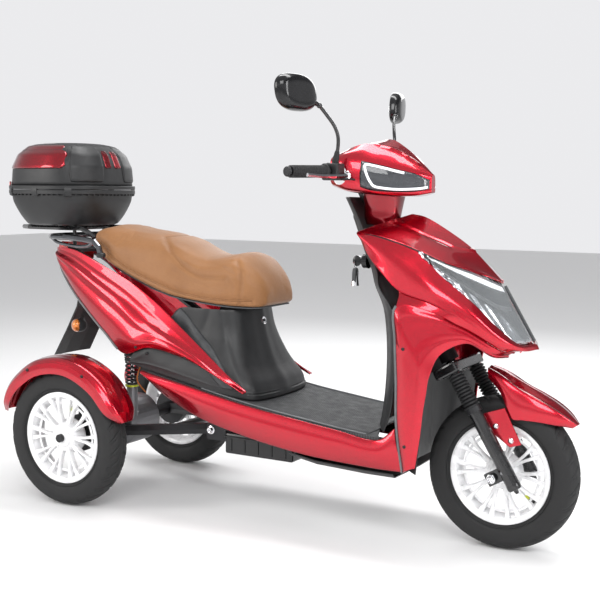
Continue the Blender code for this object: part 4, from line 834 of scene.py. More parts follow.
CROWN = wheel_sizes("front")[0] + 0.034
FENDER = (
    # angle above the horizon, lift of the crown, half width, depth of the side
    (98, 0.046, 0.034, 0.030), (93, 0.035, 0.042, 0.040), (88, 0.024, 0.048, 0.052), (78, 0.006, 0.054, 0.085),
    (66, 0.0, 0.056, 0.070), (54, 0.002, 0.052, 0.052), (45, 0.006, 0.040, 0.036), (37, 0.010, 0.014, 0.016),
)
rows = []
for angle, rise, width, drop in FENDER:
    direction = (math.cos(math.radians(angle)), math.sin(math.radians(angle)))
    row = []
    for across, down in ((-1, 1), (-1.03, 0.55), (-0.97, 0.28), (-0.80, 0.06), (-0.62, 0.075), (-0.3, -0.01),
                         (0, -0.06),
                         (0.3, -0.01), (0.62, 0.075), (0.80, 0.06), (0.97, 0.28), (1.03, 0.55), (1, 1)):
        reach = CROWN + rise - down * drop
        row.append((direction[0] * reach, across * width, direction[1] * reach))
    rows.append(row)
skin("front_mudguard", [fine_grid(rows, 6, 4)], RED, "fork_lowers", (0, 0, 0), FRONT, stands_for=["front_fender"])
for side in (-1, 1):
    tag = side_name(side)
    y = side * (LEG_Y - 0.017)
    corners = [fork(0.165, 0.030, y), fork(0.150, 0.100, y * 0.93), fork(0.045, 0.095, y * 1.0), fork(0.052, 0.062, y),
               fork(0.110, 0.036, y)]
    bm = bmesh.new()
    bm.faces.new([bm.verts.new(p) for p in corners])
    plate = put("mudguard_plate_" + tag, bm, RED, "fork_lowers", 0)
    solid = plate.modifiers.new("wall", "SOLIDIFY")
    solid.thickness = 0.003
    solid.offset = 0
    soft = plate.modifiers.new("rim", "BEVEL")
    soft.width = 0.001
    soft.segments = 2
    for number, (along, ahead) in enumerate(((0.118, 0.055), (0.066, 0.074))):
        bolt("mudguard_bolt_%s_%d" % (tag, number), fork(along, ahead, y + side * 0.001), (0, side, 0), 0.0075,
             "fork_lowers", CHROME, "button")


# Swing arm, hub motor, shock absorbers and rear mudguards. The arm is welded black box section on two pins,
# the shocks have black coils over a damper tube, and each mudguard is bolted to a stay.

dress(SATIN, "swing_arm", "main_frame")
dress(ALLOY, "drive_motor")
dress(GLOSS, "battery_case")
for side in (-1, 1):
    tag = side_name(side)
    dress(ALLOY, "shock_damper_" + tag)
    dress(CHROME, "shock_rod_" + tag)
    pivot = Vector(JOINTS["swing_arm_lift"]["pos_m"])
    bolt("arm_pivot_bolt_" + tag, (pivot.x, side * 0.1215, pivot.z), (0, side, 0), 0.013, "chassis", CHROME)
    eye = Vector(JOINTS["damper_%s_pivot" % tag]["pos_m"])
    bolt("shock_eye_bolt_" + tag, eye + Vector((0, -side * 0.018, 0)), (0, -side, 0), 0.008, "swing_arm", CHROME)
    coil_low, coil_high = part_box("shock_spring_" + tag)
    top, low = coil_high[2], coil_low[2]
    coils = 6.5
    helix = []
    for k in range(int(coils * 20) + 1):
        angle = 2 * math.pi * k / 20
        share = k / (coils * 20)
        ease = 0.5 - 0.5 * math.cos(math.pi * share)
        rise = low + 0.003 + (top - low - 0.006) * (0.55 * share + 0.45 * ease)
        helix.append((eye.x + 0.019 * math.cos(angle), eye.y + side * 0.019 * math.sin(angle), rise))
    spring = pipe("coil_spring_" + tag, helix, 0.0029, SATIN, "chassis", 1, ["shock_spring_" + tag], 3)
    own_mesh(spring)
    cap_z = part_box("shock_rod_" + tag)[1][2]
    boot = [(0.0225, -0.004)]
    for k in range(25):
        share = k / 24
        boot.append((0.0225 - 0.002 * share + 0.0025 * abs(math.sin(math.pi * 4 * share)), -0.004 - 0.030 * share))
    boot.append((0.019, -0.034))
    turned("shock_boot_" + tag, boot, GRIP, "chassis", (eye.x, eye.y, cap_z), (0, 0, 1), 32)
    turned("shock_ring_" + tag, [(0.0175, 0), (0.0215, 0), (0.0215, 0.006), (0.0175, 0.006), (0.0175, 0)], YELLOW,
           "damper_" + tag, (eye.x, eye.y, low - 0.0075), (0, 0, 1), 32)
    lead = [(eye.x + 0.02, eye.y - side * 0.015, cap_z + 0.004), (eye.x + 0.034, eye.y, cap_z - 0.04),
            (eye.x + 0.03, eye.y + side * 0.012, cap_z - 0.09), (eye.x + 0.045, eye.y - side * 0.01, cap_z - 0.13)]
    pipe("motor_lead_" + tag, lead, 0.0022, ORANGE, "chassis", 8)


def rear_mudguard(side):
    """A red arch over the rear tyre with a raised rib, rolled edges and a kicked tail."""
    tag = side_name(side)
    centre = side * HALF_TRACK
    rows = []
    for angle, width, drop, lift in ((17, 0.026, 0.018, -0.004), (26, 0.052, 0.040, 0), (50, 0.059, 0.050, 0.002),
                                     (80, 0.061, 0.052, 0.003), (110, 0.061, 0.052, 0.003), (132, 0.058, 0.048, 0.002),
                                     (146, 0.054, 0.042, 0.004), (158, 0.045, 0.034, 0.004),
                                     (166, 0.024, 0.018, 0.002)):
        direction = (math.cos(math.radians(angle)), math.sin(math.radians(angle)))
        row = []
        for across, down in ((-1, 1), (-1.01, 0.6), (-0.95, 0.3), (-0.78, 0.1), (-0.45, 0.04), (0, -0.05), (0.45, 0.04),
                             (0.78, 0.1), (0.95, 0.3), (1.01, 0.6), (1, 1)):
            reach = CROWN + 0.006 + lift - down * drop
            row.append((direction[0] * reach, centre + across * width, direction[1] * reach))
        rows.append(row)
    grid = relief(fine_grid(rows, 6, 4), lambda s, t: 0.0022 * ridge(t, 0.5, 0.035) - 0.0012 * ridge(t, 0.17, 0.02))
    skin("rear_mudguard_" + tag, [grid], RED, "swing_arm", (0, centre, 0), stands_for=["rear_fender_" + tag])
    for number, angle in enumerate((62, 118)):
        a = math.radians(angle)
        at = chassis(math.cos(a) * (CROWN - 0.014), centre + side * 0.0605, math.sin(a) * (CROWN - 0.014))
        bolt("mudguard_screw_%s_%d" % (tag, number), at, (0, side, 0), 0.005, "swing_arm", SATIN, "button")


for side in (-1, 1):
    rear_mudguard(side)


# Battery case details: a black box under the floor rails with a seam round its lid and ribs on its sides.

low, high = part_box("battery_case")
for number in range(5):
    x = low[0] + (high[0] - low[0]) * (number + 0.5) / 5
    for side in (-1, 1):
        pipe("battery_rib_%s_%d" % (side_name(side), number),
             [(x, side * (high[1] + 0.0012), low[2] + 0.010), (x, side * (high[1] + 0.0012), high[2] - 0.016)], 0.0022,
             GLOSS, "chassis", 1)
flange = [(low[0] - 0.001, -high[1] - 0.001, high[2] - 0.010), (high[0] + 0.001, -high[1] - 0.001, high[2] - 0.010),
          (high[0] + 0.001, high[1] + 0.001, high[2] - 0.010), (low[0] - 0.001, high[1] + 0.001, high[2] - 0.010),
          (low[0] - 0.001, -high[1] - 0.001, high[2] - 0.010)]
pipe("battery_lid_seam", flange, 0.002, BLACK, "chassis", 1)


# Floor: a ribbed rubber mat on the floorboard with a stitched grey edge, red sills each side, black belly tray.

dress(MAT, "floorboard")
dress(BLACK, "under_tray")
FLOOR_HALF_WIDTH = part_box("floorboard")[1][1]
FLOOR_LINE = [(0.420, 0.1695), (0.47, 0.160), (0.60, 0.138), (0.76, 0.118), (0.88, 0.104), (0.962, 0.0965)]
mat_line = refine(FLOOR_LINE, 8)
rows = []
for x, z in mat_line:
    rows.append([(x, y, z + 0.0022) for y in np.linspace(-FLOOR_HALF_WIDTH + 0.010, FLOOR_HALF_WIDTH - 0.010, 9)])
skin("floor_mat", [rows], MAT, "chassis", (0.6, 0, -2), wall=0.0018, edge=0.0005)
for side in (-1, 1):
    tag = side_name(side)
    edge_line = [chassis(x, side * (FLOOR_HALF_WIDTH - 0.0085), z + 0.003) for x, z in mat_line]
    pipe("floor_mat_edge_" + tag, edge_line, 0.0026, TRIM, "chassis", 1)
    bm = bmesh.new()
    for number in range(84):
        share = (number + 0.5) / 84 * (len(mat_line) - 1)
        base = int(share)
        t = share - base
        point = chassis(mat_line[base][0] * (1 - t) + mat_line[base + 1][0] * t, side * (FLOOR_HALF_WIDTH - 0.0155),
                        mat_line[base][1] * (1 - t) + mat_line[base + 1][1] * t + 0.0026)
        matrix = Matrix.Translation(point) @ Matrix.Diagonal((0.0042, 0.0014, 0.0010, 1))
        bmesh.ops.create_icosphere(bm, subdivisions=1, radius=0.62, matrix=matrix)
    put("floor_mat_studs_" + tag, bm, TRIM, "chassis", 60)

SILL_TOP = ((0.205, 0.208), (0.24, 0.200), (0.35, 0.181), (0.47, 0.158), (0.60, 0.136), (0.76, 0.116), (0.88, 0.102),
            (1.000, 0.090), (1.052, 0.128))
SILL_LOW = ((0.215, 0.190), (0.245, 0.163), (0.30, 0.130), (0.42, 0.081), (0.60, 0.042), (0.78, 0.018), (0.92, 0.011),
            (1.010, 0.009), (1.078, 0.010))
sill_y = FLOOR_HALF_WIDTH + 0.0036
rows = []
for (top_x, top_z), (low_x, low_z) in zip(SILL_TOP, SILL_LOW):
    rows.append([(top_x, -sill_y + 0.004, top_z + 0.001), (top_x, -sill_y - 0.001, top_z),
                 (0.85 * top_x + 0.15 * low_x, -sill_y - 0.0065, 0.85 * top_z + 0.15 * low_z),
                 (0.6 * top_x + 0.4 * low_x, -sill_y - 0.009, 0.6 * top_z + 0.4 * low_z),
                 (0.3 * top_x + 0.7 * low_x, -sill_y - 0.002, 0.3 * top_z + 0.7 * low_z),
                 (low_x, -sill_y + 0.010, low_z)])
sill = relief(fine_grid(rows, 6, 4), lambda s, t: -0.0012 * ridge(t, 0.62, 0.03) * (s > 0.15))
skin("sill_right", [sill], RED, "chassis", (0.6, 0, 0.1), stands_for=["side_skirt_right"])
skin("sill_left", [flipped(sill)], RED, "chassis", (0.6, 0, 0.1), stands_for=["side_skirt_left"])


# Pedestal cover: one black moulding that stands on the floor and carries the seat. A grey ribbon sweeps up its side,
# and the front is a faceted face with the seat lock.

PEDESTAL = (
    # x, half width, low z, shoulder z
    (0.150, 0.185, 0.222, 0.240), (0.215, 0.186, 0.211, 0.268), (0.290, 0.187, 0.198, 0.300),
    (0.380, 0.187, 0.181, 0.300), (0.470, 0.186, 0.164, 0.300), (0.530, 0.176, 0.154, 0.290),
    (0.580, 0.156, 0.149, 0.270), (0.598, 0.086, 0.146, 0.260), (0.602, 0.000, 0.145, 0.260),
)
COLUMN_TOP = ((0.262, 0.128), (0.285, 0.1285), (0.315, 0.129), (0.36, 0.129), (0.41, 0.128), (0.452, 0.124),
              (0.487, 0.104), (0.508, 0.055), (0.514, 0.0))
COLUMN_TOP_Z = 0.402
rows = []
for (x, y, low, high), (top_x, top_y) in zip(PEDESTAL, COLUMN_TOP):
    middle_x = x + (top_x - x) * 0.5
    middle_y = y + (top_y - y) * 0.42
    if x < 0.28:
        rows.append([(x, -y, low), (x, -y * 0.994, (low + high) / 2), (x, -y * 0.978, high),
                     (top_x * 0.4 + x * 0.6, -(top_y * 0.4 + y * 0.6), 0.31),
                     (top_x, -top_y, 0.350 + 0.6 * (x - 0.15))])
    else:
        rows.append([(x, -y, low), (x - 0.004, -y * 0.989, low + 0.035), (middle_x, -middle_y, (low + high) / 2 + 0.04),
                     (top_x + (x - top_x) * 0.15, -(top_y + (y - top_y) * 0.15), 0.33), (top_x, -top_y, COLUMN_TOP_Z)])


def pedestal_shape(s, t):
    """A sharp step behind the front face, a groove along the foot and a crease up the flank."""
    step = 0.0045 / (1 + np.exp(-(s - 0.62 - 0.10 * (1 - t)) * 110)) * (t > 0.1)
    foot = -0.0018 * ridge(t, 0.13, 0.02)
    crease = 0.003 * ridge(s - 0.30 * t, 0.20, 0.03) * t
    return step + foot + crease


half = relief(fine_grid(rows, 9, 9), lambda s, t: -pedestal_shape(s, t) * (1 - ridge(s, 1.0, 0.05)))
skin("pedestal", [half, flipped(half)], BLACK, "chassis", (0.35, 0, 0.25), stands_for=["pedestal_cover"], smooth=30)


def on_grid(grid, s, t, lift=0.0):
    """A point on a fine grid at shares s along and t across, lifted outwards from the middle plane."""
    count, wide = grid.shape[:2]
    i, j = min(s * (count - 1), count - 1.001), min(t * (wide - 1), wide - 1.001)
    a, b = int(i), int(j)
    u, v = i - a, j - b
    corner = grid[a, b] * (1 - u) * (1 - v) + grid[a + 1, b] * u * (1 - v) + grid[a, b + 1] * (1 - u) * v
    corner = corner + grid[a + 1, b + 1] * u * v
    du, dv = grid[a + 1, b] - grid[a, b], grid[a, b + 1] - grid[a, b]
    normal = np.cross(du, dv)
    normal /= max(np.linalg.norm(normal), 1e-9)
    if normal[1] * corner[1] < 0:
        normal = -normal
    return corner + normal * lift


def ribbon(name, grid, path, width, lift, finish, body, side=-1, origin=REAR):
    """A raised band that follows a path of (s, t, width factor) over a fine grid."""
    line = refine([(s, t, w) for s, t, w in path], 10)
    rows = []
    for k, (s, t, w) in enumerate(line):
        ahead = line[min(k + 1, len(line) - 1)] - line[max(k - 1, 0)]
        across = np.array([-ahead[1], ahead[0]])
        across /= max(np.linalg.norm(across), 1e-9)
        row = []
        for share, rise in ((-1, 0.1), (-0.8, 0.9), (-0.4, 1.0), (0, 1.05), (0.4, 1.0), (0.8, 0.9), (1, 0.1)):
            place_s, place_t = np.clip([s + across[0] * share * w * width, t + across[1] * share * w * width], 0, 1)
            point = on_grid(grid, place_s, place_t, lift * rise)
            row.append(point * np.array([1, -side, 1]))
        rows.append(row)
    return skin(name, [rows], finish, body, (0.3, 0, 0.3), origin, wall=0.0012, edge=0.0, smooth=40)


for side in (-1, 1):
    ribbon("pedestal_ribbon_" + side_name(side), half,
           [(0.17, 0.97, 0.8), (0.30, 0.80, 1.0), (0.43, 0.58, 1.0), (0.52, 0.36, 0.9), (0.58, 0.16, 0.6)], 0.070,
           0.0045,
           GREY, "chassis", side)
lock_at = Vector(REAR) + Vector(on_grid(half, 0.985, 0.86))
turned("seat_lock", [(0.0125, -0.004), (0.0125, 0.002), (0.0105, 0.0035), (0.0085, 0.003), (0.0001, 0.0028)], CHROME,
       "chassis", (lock_at.x, 0, lock_at.z), (1, 0, 0.35), 32)
turned("seat_lock_barrel", [(0.0045, 0.0025), (0.0045, 0.0045), (0.0012, 0.0046), (0.0010, 0.0030), (0.0001, 0.0030)],
       GLOSS, "chassis", (lock_at.x, 0, lock_at.z), (1, 0, 0.35), 24)


# Side panels: red covers from the tail to a point over the floor, with two long ridges and a grey trim at the back.

PANEL_TOP = ((-0.232, 0.070, 0.560), (-0.205, 0.108, 0.566), (-0.112, 0.130, 0.560), (0.007, 0.146, 0.520),
             (0.134, 0.156, 0.470), (0.235, 0.160, 0.412), (0.330, 0.166, 0.345), (0.430, 0.176, 0.275),
             (0.522, 0.187, 0.212), (0.578, 0.188, 0.178))
PANEL_LOW = ((-0.226, 0.070, 0.545), (-0.190, 0.112, 0.510), (-0.130, 0.136, 0.445), (-0.050, 0.152, 0.375),
             (0.040, 0.166, 0.305), (0.120, 0.176, 0.250), (0.225, 0.190, 0.278), (0.355, 0.192, 0.258),
             (0.470, 0.195, 0.216), (0.574, 0.191, 0.172))
rows = []
for (top_x, top_y, top_z), (low_x, low_y, low_z) in zip(PANEL_TOP, PANEL_LOW):
    row = []
    for share, out in ((0, 0), (0.2, 0.004), (0.45, 0.016), (0.75, 0.012), (1, 0.0)):
        row.append((top_x + (low_x - top_x) * share, -(top_y + (low_y - top_y) * share) - out,
                    top_z + (low_z - top_z) * share))
    rows.append(row)


def panel_shape(s, t):
    """Two sharp creases that run the panel's length and draw together at its point."""
    fade = np.clip((s - 0.06) / 0.1, 0, 1) * np.clip((0.97 - s) / 0.2, 0, 1)
    upper = 0.26 + 0.16 * s
    lower = 0.60 - 0.08 * s
    rise = 0.0052 * np.maximum(0, 1 - abs(t - upper) / 0.13) + 0.0050 * np.maximum(0, 1 - abs(t - lower) / 0.15)
    return rise * fade


panel = relief(fine_grid(rows, 7, 9), lambda s, t: panel_shape(s, t))
skin("side_cover_right", [panel], RED, "chassis", (0.1, 0, 0.35), stands_for=["side_panel_right"], smooth=24)
skin("side_cover_left", [flipped(panel)], RED, "chassis", (0.1, 0, 0.35), stands_for=["side_panel_left"], smooth=24)
for side in (-1, 1):
    tag = side_name(side)
    trim = [on_grid(panel, s, 0.992, 0.001) * np.array([1, -side, 1]) for s in np.linspace(0.02, 0.52, 24)]
    pipe("side_cover_trim_" + tag, [Vector(REAR) + Vector(p) for p in trim], 0.0034, TRIM, "chassis", 1)
    for number, s in enumerate((0.60, 0.78)):
        at = Vector(REAR) + Vector(on_grid(panel, s, 0.86, 0.0005) * np.array([1, -side, 1]))
        bolt("side_cover_screw_%s_%d" % (tag, number), at, (0, side, 0), 0.0045, "chassis", SATIN, "button")
    foot = Vector(REAR) + Vector(on_grid(half, 0.13, 0.42, 0.0005) * np.array([1, -side, 1]))
    bolt("pedestal_screw_" + tag, foot, (0, side, 0), 0.0055, "chassis", SATIN, "button")


# Tail: a faceted red lamp between the panel ends over a black plate bracket, with an amber lamp on each side.

tail_low, tail_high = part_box("tail_lamp")
loops = []
for z, back, half_width in ((tail_low[2], 0.010, 0.064), (tail_low[2] + 0.012, 0.004, 0.066),
                            (tail_low[2] + 0.036, 0.0, 0.066), (tail_high[2] - 0.006, 0.005, 0.062),
                            (tail_high[2], 0.012, 0.058)):
    x = tail_low[0] + back
    loops.append([(x, -half_width * 0.9, z), (x - 0.002, 0, z), (x, half_width * 0.9, z), (x + 0.012, half_width, z),
                  (tail_high[0] - 0.001, half_width, z), (tail_high[0] - 0.001, -half_width, z),
                  (x + 0.012, -half_width, z)])
solid_loft("tail_lens", loops, RED_LENS, "chassis", 4, 30, ["tail_lamp"])
pipe("tail_lens_frame", [(tail_low[0] + 0.009, -0.066, tail_low[2] + 0.018),
                         (tail_low[0] - 0.001, -0.050, tail_low[2] + 0.016),
                         (tail_low[0] - 0.003, 0, tail_low[2] + 0.016),
                         (tail_low[0] - 0.001, 0.050, tail_low[2] + 0.016),
                         (tail_low[0] + 0.009, 0.066, tail_low[2] + 0.018)], 0.0022, TRIM, "chassis", 6)
dress(BLACK, "plate_bracket")
plate_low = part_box("plate_bracket")[0]
reflector_at = Vector((plate_low[0] + 0.004, 0, plate_low[2] + 0.045))
block_loops = []
for depth, scale in ((0.004, 1.0), (-0.002, 1.0), (-0.004, 0.9)):
    block_loops.append([(reflector_at.x + depth, y * scale, reflector_at.z + z * scale) for y, z in
                        ((-0.038, -0.014), (-0.034, -0.018), (0.034, -0.018), (0.038, -0.014), (0.038, 0.014),
                         (0.034, 0.018), (-0.034, 0.018), (-0.038, 0.014))])
solid_loft("rear_reflector", block_loops, RED_LENS, "chassis", 1, 30)
for side in (-1, 1):
    tag = side_name(side)
    at = chassis(-0.098, side * 0.132, 0.318)
    stalk = [chassis(-0.130, side * 0.074, 0.330), chassis(-0.118, side * 0.100, 0.324), at + Vector((0.004, 0, 0))]
    pipe("indicator_stalk_" + tag, stalk, 0.0065, BLACK, "chassis", 6)
    shape = [(0.0001, -0.026), (0.010, -0.024), (0.018, -0.016), (0.0215, -0.004), (0.022, 0.004)]
    turned("indicator_housing_" + tag, shape, BLACK, "chassis", at, (-0.55, side * 0.83, 0), 32, 45, along=3)
    lens = [(0.0205, 0.0035), (0.0205, 0.009), (0.0185, 0.015), (0.013, 0.0205), (0.006, 0.023), (0.0001, 0.0235)]
    turned("indicator_lens_" + tag, lens, AMBER, "chassis", at, (-0.55, side * 0.83, 0), 32, 45, along=3)


# Grab rail and rack: dark chromed tube round the tail, with a black welded rack under the top box.

dress(DARK_CHROME, "grab_rail")
dress(STEEL, "box_rack")
for side in (-1, 1):
    tag = side_name(side)
    line = [chassis(-0.020, side * 0.1485, 0.592), chassis(-0.045, side * 0.140, 0.578),
            chassis(-0.085, side * 0.130, 0.572),
            chassis(-0.140, side * 0.122, 0.574), chassis(-0.205, side * 0.110, 0.582),
            chassis(-0.232, side * 0.103, 0.594)]
    pipe("grab_rail_brace_" + tag, line, 0.0055, DARK_CHROME, "chassis", 8)
    foot = chassis(0.012, side * 0.150, 0.545)
    turned("grab_rail_foot_" + tag, [(0.0096, 0), (0.013, 0.001), (0.0145, 0.005), (0.0145, 0.012), (0.0105, 0.016)],
           BLACK, "chassis", foot - Vector((0, 0, 0.004)), (0, 0, 1), 32)


# Top box: a black tub and lid that meet at a rim, red gloss panels in the lid and a latch behind. The lid turns
# about its front edge, where no hinge piece is drawn.

BOX = (Vector(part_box("top_box_tub")[0]) + Vector(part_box("top_box_tub")[1])) / 2
BOX_LENGTH = (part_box("top_box_tub")[1][0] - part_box("top_box_tub")[0][0]) / 2
BOX_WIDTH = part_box("top_box_tub")[1][1]
BOX_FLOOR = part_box("top_box_tub")[0][2]
BOX_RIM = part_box("top_box_tub")[1][2]
BOX_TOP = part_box("top_box_lid")[1][2]
BOX_STEPS = 144
BOX_SQUARENESS = 2.8


def box_point(angle, scale, z, out=0.0):
    c, s = math.cos(angle), math.sin(angle)
    reach = (abs(c) ** BOX_SQUARENESS + abs(s) ** BOX_SQUARENESS) ** (-1 / BOX_SQUARENESS)
    return Vector((BOX.x + (scale * BOX_LENGTH + out) * reach * c, (scale * BOX_WIDTH + out) * reach * s, z))


def box_shell(name, stations, finish, body, stands_for, shape, wall=0.003, up=False):
    """A dish of box outlines, closed at its first station, pushed in and out by shape(angle, share, z)."""
    stations = refine(np.array(stations), 5)
    bm = bmesh.new()
    loops = []
    for number, (scale, z) in enumerate(stations):
        share = number / (len(stations) - 1)
        loops.append([bm.verts.new(box_point(a, scale, z, shape(a, share, z)))
                      for a in (2 * math.pi * k / BOX_STEPS for k in range(BOX_STEPS))])
    for low_loop, high_loop in zip(loops, loops[1:]):
        for i in range(BOX_STEPS):
            j = (i + 1) % BOX_STEPS
            bm.faces.new((low_loop[i], low_loop[j], high_loop[j], high_loop[i]))
    rings = [loops[0]]
    middle_z = stations[0][1] + (0.0015 if up else 0.0)
    for scale in (0.66, 0.33):
        rings.append([bm.verts.new(v.co.lerp(Vector((BOX.x, 0, middle_z)), 1 - scale)) for v in loops[0]])
        for i in range(BOX_STEPS):
            j = (i + 1) % BOX_STEPS
            bm.faces.new((rings[-1][i], rings[-1][j], rings[-2][j], rings[-2][i]))
    middle = bm.verts.new((BOX.x, 0, middle_z))
    for i in range(BOX_STEPS):
        bm.faces.new((middle, rings[-1][(i + 1) % BOX_STEPS], rings[-1][i]))
    bmesh.ops.recalc_face_normals(bm, faces=bm.faces)
    bm.faces.ensure_lookup_table()
    if (bm.faces[-1].normal.z > 0) != up:
        bmesh.ops.reverse_faces(bm, faces=bm.faces)
    made = put(name, bm, finish, body, 34, stands_for)
    solid = made.modifiers.new("wall", "SOLIDIFY")
    solid.thickness = wall
    solid.offset = -1
    return made


def tub_shape(angle, share, z):
    """Shallow upright flutes that fade towards the floor and the rim."""
    flute = abs(math.sin(angle * 2)) ** 6
    return -0.0035 * flute * max(0.0, math.sin(math.pi * min(1, max(0, (share - 0.15) / 0.6))))


def lid_scale(z):
    """Outline scale of the lid at a height."""
    return float(np.interp(z, [s[1] for s in reversed(LID)], [s[0] for s in reversed(LID)]))


rise = BOX_TOP - BOX_RIM
TUB = [(0.66, BOX_FLOOR), (0.74, BOX_FLOOR + 0.008), (0.86, BOX_FLOOR + 0.040), (0.93, BOX_RIM - 0.040),
       (0.955, BOX_RIM - 0.014)]
LID = [(0.45, BOX_TOP), (0.68, BOX_TOP - 0.07 * rise), (0.84, BOX_TOP - 0.25 * rise), (0.93, BOX_TOP - 0.52 * rise),
       (0.955, BOX_RIM + 0.013)]
box_shell("box_tub", TUB, BLACK, "chassis", ["top_box_tub"], tub_shape)
box_shell("box_lid_shell", LID, BLACK, "box_lid", ["top_box_lid"], lambda angle, share, z: 0.0, up=True)


def rim_band(name, body, low_z, high_z, inner, outer):
    """A square-edged flange round the box at the rim."""
    bm = bmesh.new()
    rows = []
    for k in range(BOX_STEPS + 1):
        a = 2 * math.pi * (k % BOX_STEPS) / BOX_STEPS
        rows.append([box_point(a, inner, low_z), box_point(a, outer - 0.006, low_z),
                     box_point(a, outer, low_z + 0.0015),
                     box_point(a, outer, high_z - 0.0015), box_point(a, outer - 0.006, high_z),
                     box_point(a, inner, high_z)])
    grid_faces(bm, rows, closed=True)
    bmesh.ops.remove_doubles(bm, verts=bm.verts, dist=0.00001)
    bmesh.ops.recalc_face_normals(bm, faces=bm.faces)
    return put(name, bm, BLACK, body, 30)


rim_band("box_tub_rim", "chassis", BOX_RIM - 0.014, BOX_RIM - 0.0006, 0.93, 0.998)
rim_band("box_lid_rim", "box_lid", BOX_RIM + 0.0006, BOX_RIM + 0.013, 0.93, 0.998)


def lid_patch(name, from_angle, to_angle, low_share, high_share, finish, lift, thick=0.002):
    """A panel laid into the lid between two bearings and two heights, with a rounded outline."""
    bm = bmesh.new()
    around, up = 40, 20
    rows = []
    for i in range(around + 1):
        u = i / around
        a = from_angle + (to_angle - from_angle) * u
        row = []
        for j in range(up + 1):
            v = j / up
            squeeze = 1 - 0.10 * abs(2 * v - 1) ** 4
            angle = (from_angle + to_angle) / 2 + (a - (from_angle + to_angle) / 2) * squeeze
            z = BOX_RIM + rise * (low_share + (high_share - low_share) * v - 0.05 * abs(2 * u - 1) ** 4 * (v - 0.2))
            edge = min(u, 1 - u, v, 1 - v)
            sink = 0.0025 * max(0.0, 1 - edge / 0.035)
            row.append(box_point(angle, lid_scale(z), z, lift - sink))
        rows.append(row)
    grid_faces(bm, rows)
    bmesh.ops.recalc_face_normals(bm, faces=bm.faces)
    made = put(name, bm, finish, "box_lid", 40)
    solid = made.modifiers.new("wall", "SOLIDIFY")
    solid.thickness = thick
    solid.offset = 0
    return made


for side in (-1, 1):
    tag = side_name(side)
    # The lid's red panels take the darker copy of the red paint: painted shade.
    lid_patch("lid_panel_rear_" + tag, side * math.radians(180 - 2), side * math.radians(53), 0.44, 0.985, SHADED_RED,
              0.0026)
    lid_patch("lid_panel_front_" + tag, side * math.radians(12), side * math.radians(3), 0.46, 0.86, SHADED_RED, 0.0022)
    lid_patch("lid_band_" + tag, side * math.radians(51), side * math.radians(15), 0.16, 0.985, BLACK, 0.0030)
    for number, degrees in enumerate((52, 88, 124)):
        a = side * math.radians(degrees)
        out = (box_point(a, 1, 0) - box_point(a, 0, 0)).normalized()
        middle = box_point(a, 0.985, BOX_RIM - 0.004)
        along = Vector((-out.y, out.x, 0))
        profile = [(0.002, -0.018), (0.0065, -0.016), (0.0085, -0.004), (0.0085, 0.006), (0.006, 0.012), (0.001, 0.013)]
        loops = [[middle + along * (u * 0.011) + out * (depth - 0.004) + Vector((0, 0, height))
                  for depth, height in profile] for u in (-1, -0.8, 0.8, 1)]
        solid_loft("box_clip_%s_%d" % (tag, number), loops, BLACK, "chassis", 1, 30, edge=0.0006)
    rows = []
    for k in range(17):
        a = side * math.radians(132 + 22 * k / 16)
        rows.append([box_point(a, 0.955, BOX_RIM - 0.002 + z, 0.0055 - abs(z - 0.013) * 0.06) for z in
                     (0.004, 0.012, 0.020, 0.028)])
    bm = bmesh.new()
    grid_faces(bm, rows)
    bmesh.ops.recalc_face_normals(bm, faces=bm.faces)
    strip = put("box_reflector_" + tag, bm, RED_LENS, "box_lid", 40)
    solid = strip.modifiers.new("wall", "SOLIDIFY")
    solid.thickness = 0.003
    solid.offset = 0
bm = bmesh.new()
for k in range(64):
    a = 2 * math.pi * k / 64
    matrix = Matrix.Translation(box_point(a, 0.975, BOX_RIM - 0.016)) @ Matrix.Rotation(a, 4, "Z")
    bmesh.ops.create_cube(bm, size=1, matrix=matrix @ Matrix.Diagonal((0.006, 0.0045, 0.005, 1)))
put("box_rim_teeth", bm, BLACK, "chassis", 0)
latch = box_point(math.pi, 0.955, BOX_RIM - 0.022)
loops = [[latch + Vector((0.004 - depth, u * 0.026 * scale, z * 0.021 * scale)) for u, z in
          ((-1, -0.7), (-0.8, -1), (0.8, -1), (1, -0.7), (1, 0.7), (0.8, 1), (-0.8, 1), (-1, 0.7))]
         for depth, scale in ((0.0, 1.0), (0.009, 1.0), (0.012, 0.9))]
solid_loft("box_latch", loops, GREY, "chassis", 1, 30)
turned("box_latch_lock", [(0.008, -0.002), (0.008, 0.002), (0.0065, 0.003), (0.0001, 0.0025)], CHROME, "chassis",
       latch + Vector((-0.0085, 0, 0)), (-1, 0, 0), 24)


# Seat: a tan leather cover pulled over moulded foam, with a raised rear bucket. Bolster seams run down both sides, and
# its underside is held while the cover is inflated slightly. Then its seams are drawn in.

SEAT = (
    # x, half width share, low z, crown z
    (-0.048, 0.78, 0.594, 0.630), (-0.010, 0.88, 0.542, 0.642), (0.070, 0.95, 0.500, 0.628),
    (0.190, 1.00, 0.455, 0.613), (0.265, 1.00, 0.434, 0.594), (0.318, 0.99, 0.426, 0.569),
    (0.372, 0.98, 0.420, 0.553), (0.430, 0.96, 0.415, 0.557), (0.488, 0.91, 0.412, 0.565),
    (0.527, 0.83, 0.411, 0.540), (0.560, 0.70, 0.412, 0.500), (0.577, 0.56, 0.420, 0.462),
)
SEAT_HALF_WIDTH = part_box("seat_cushion")[1][1]
SEAT_INSET = 0.003
SEAT_VOXEL = 0.0055
SEAT_SWELL = 0.008


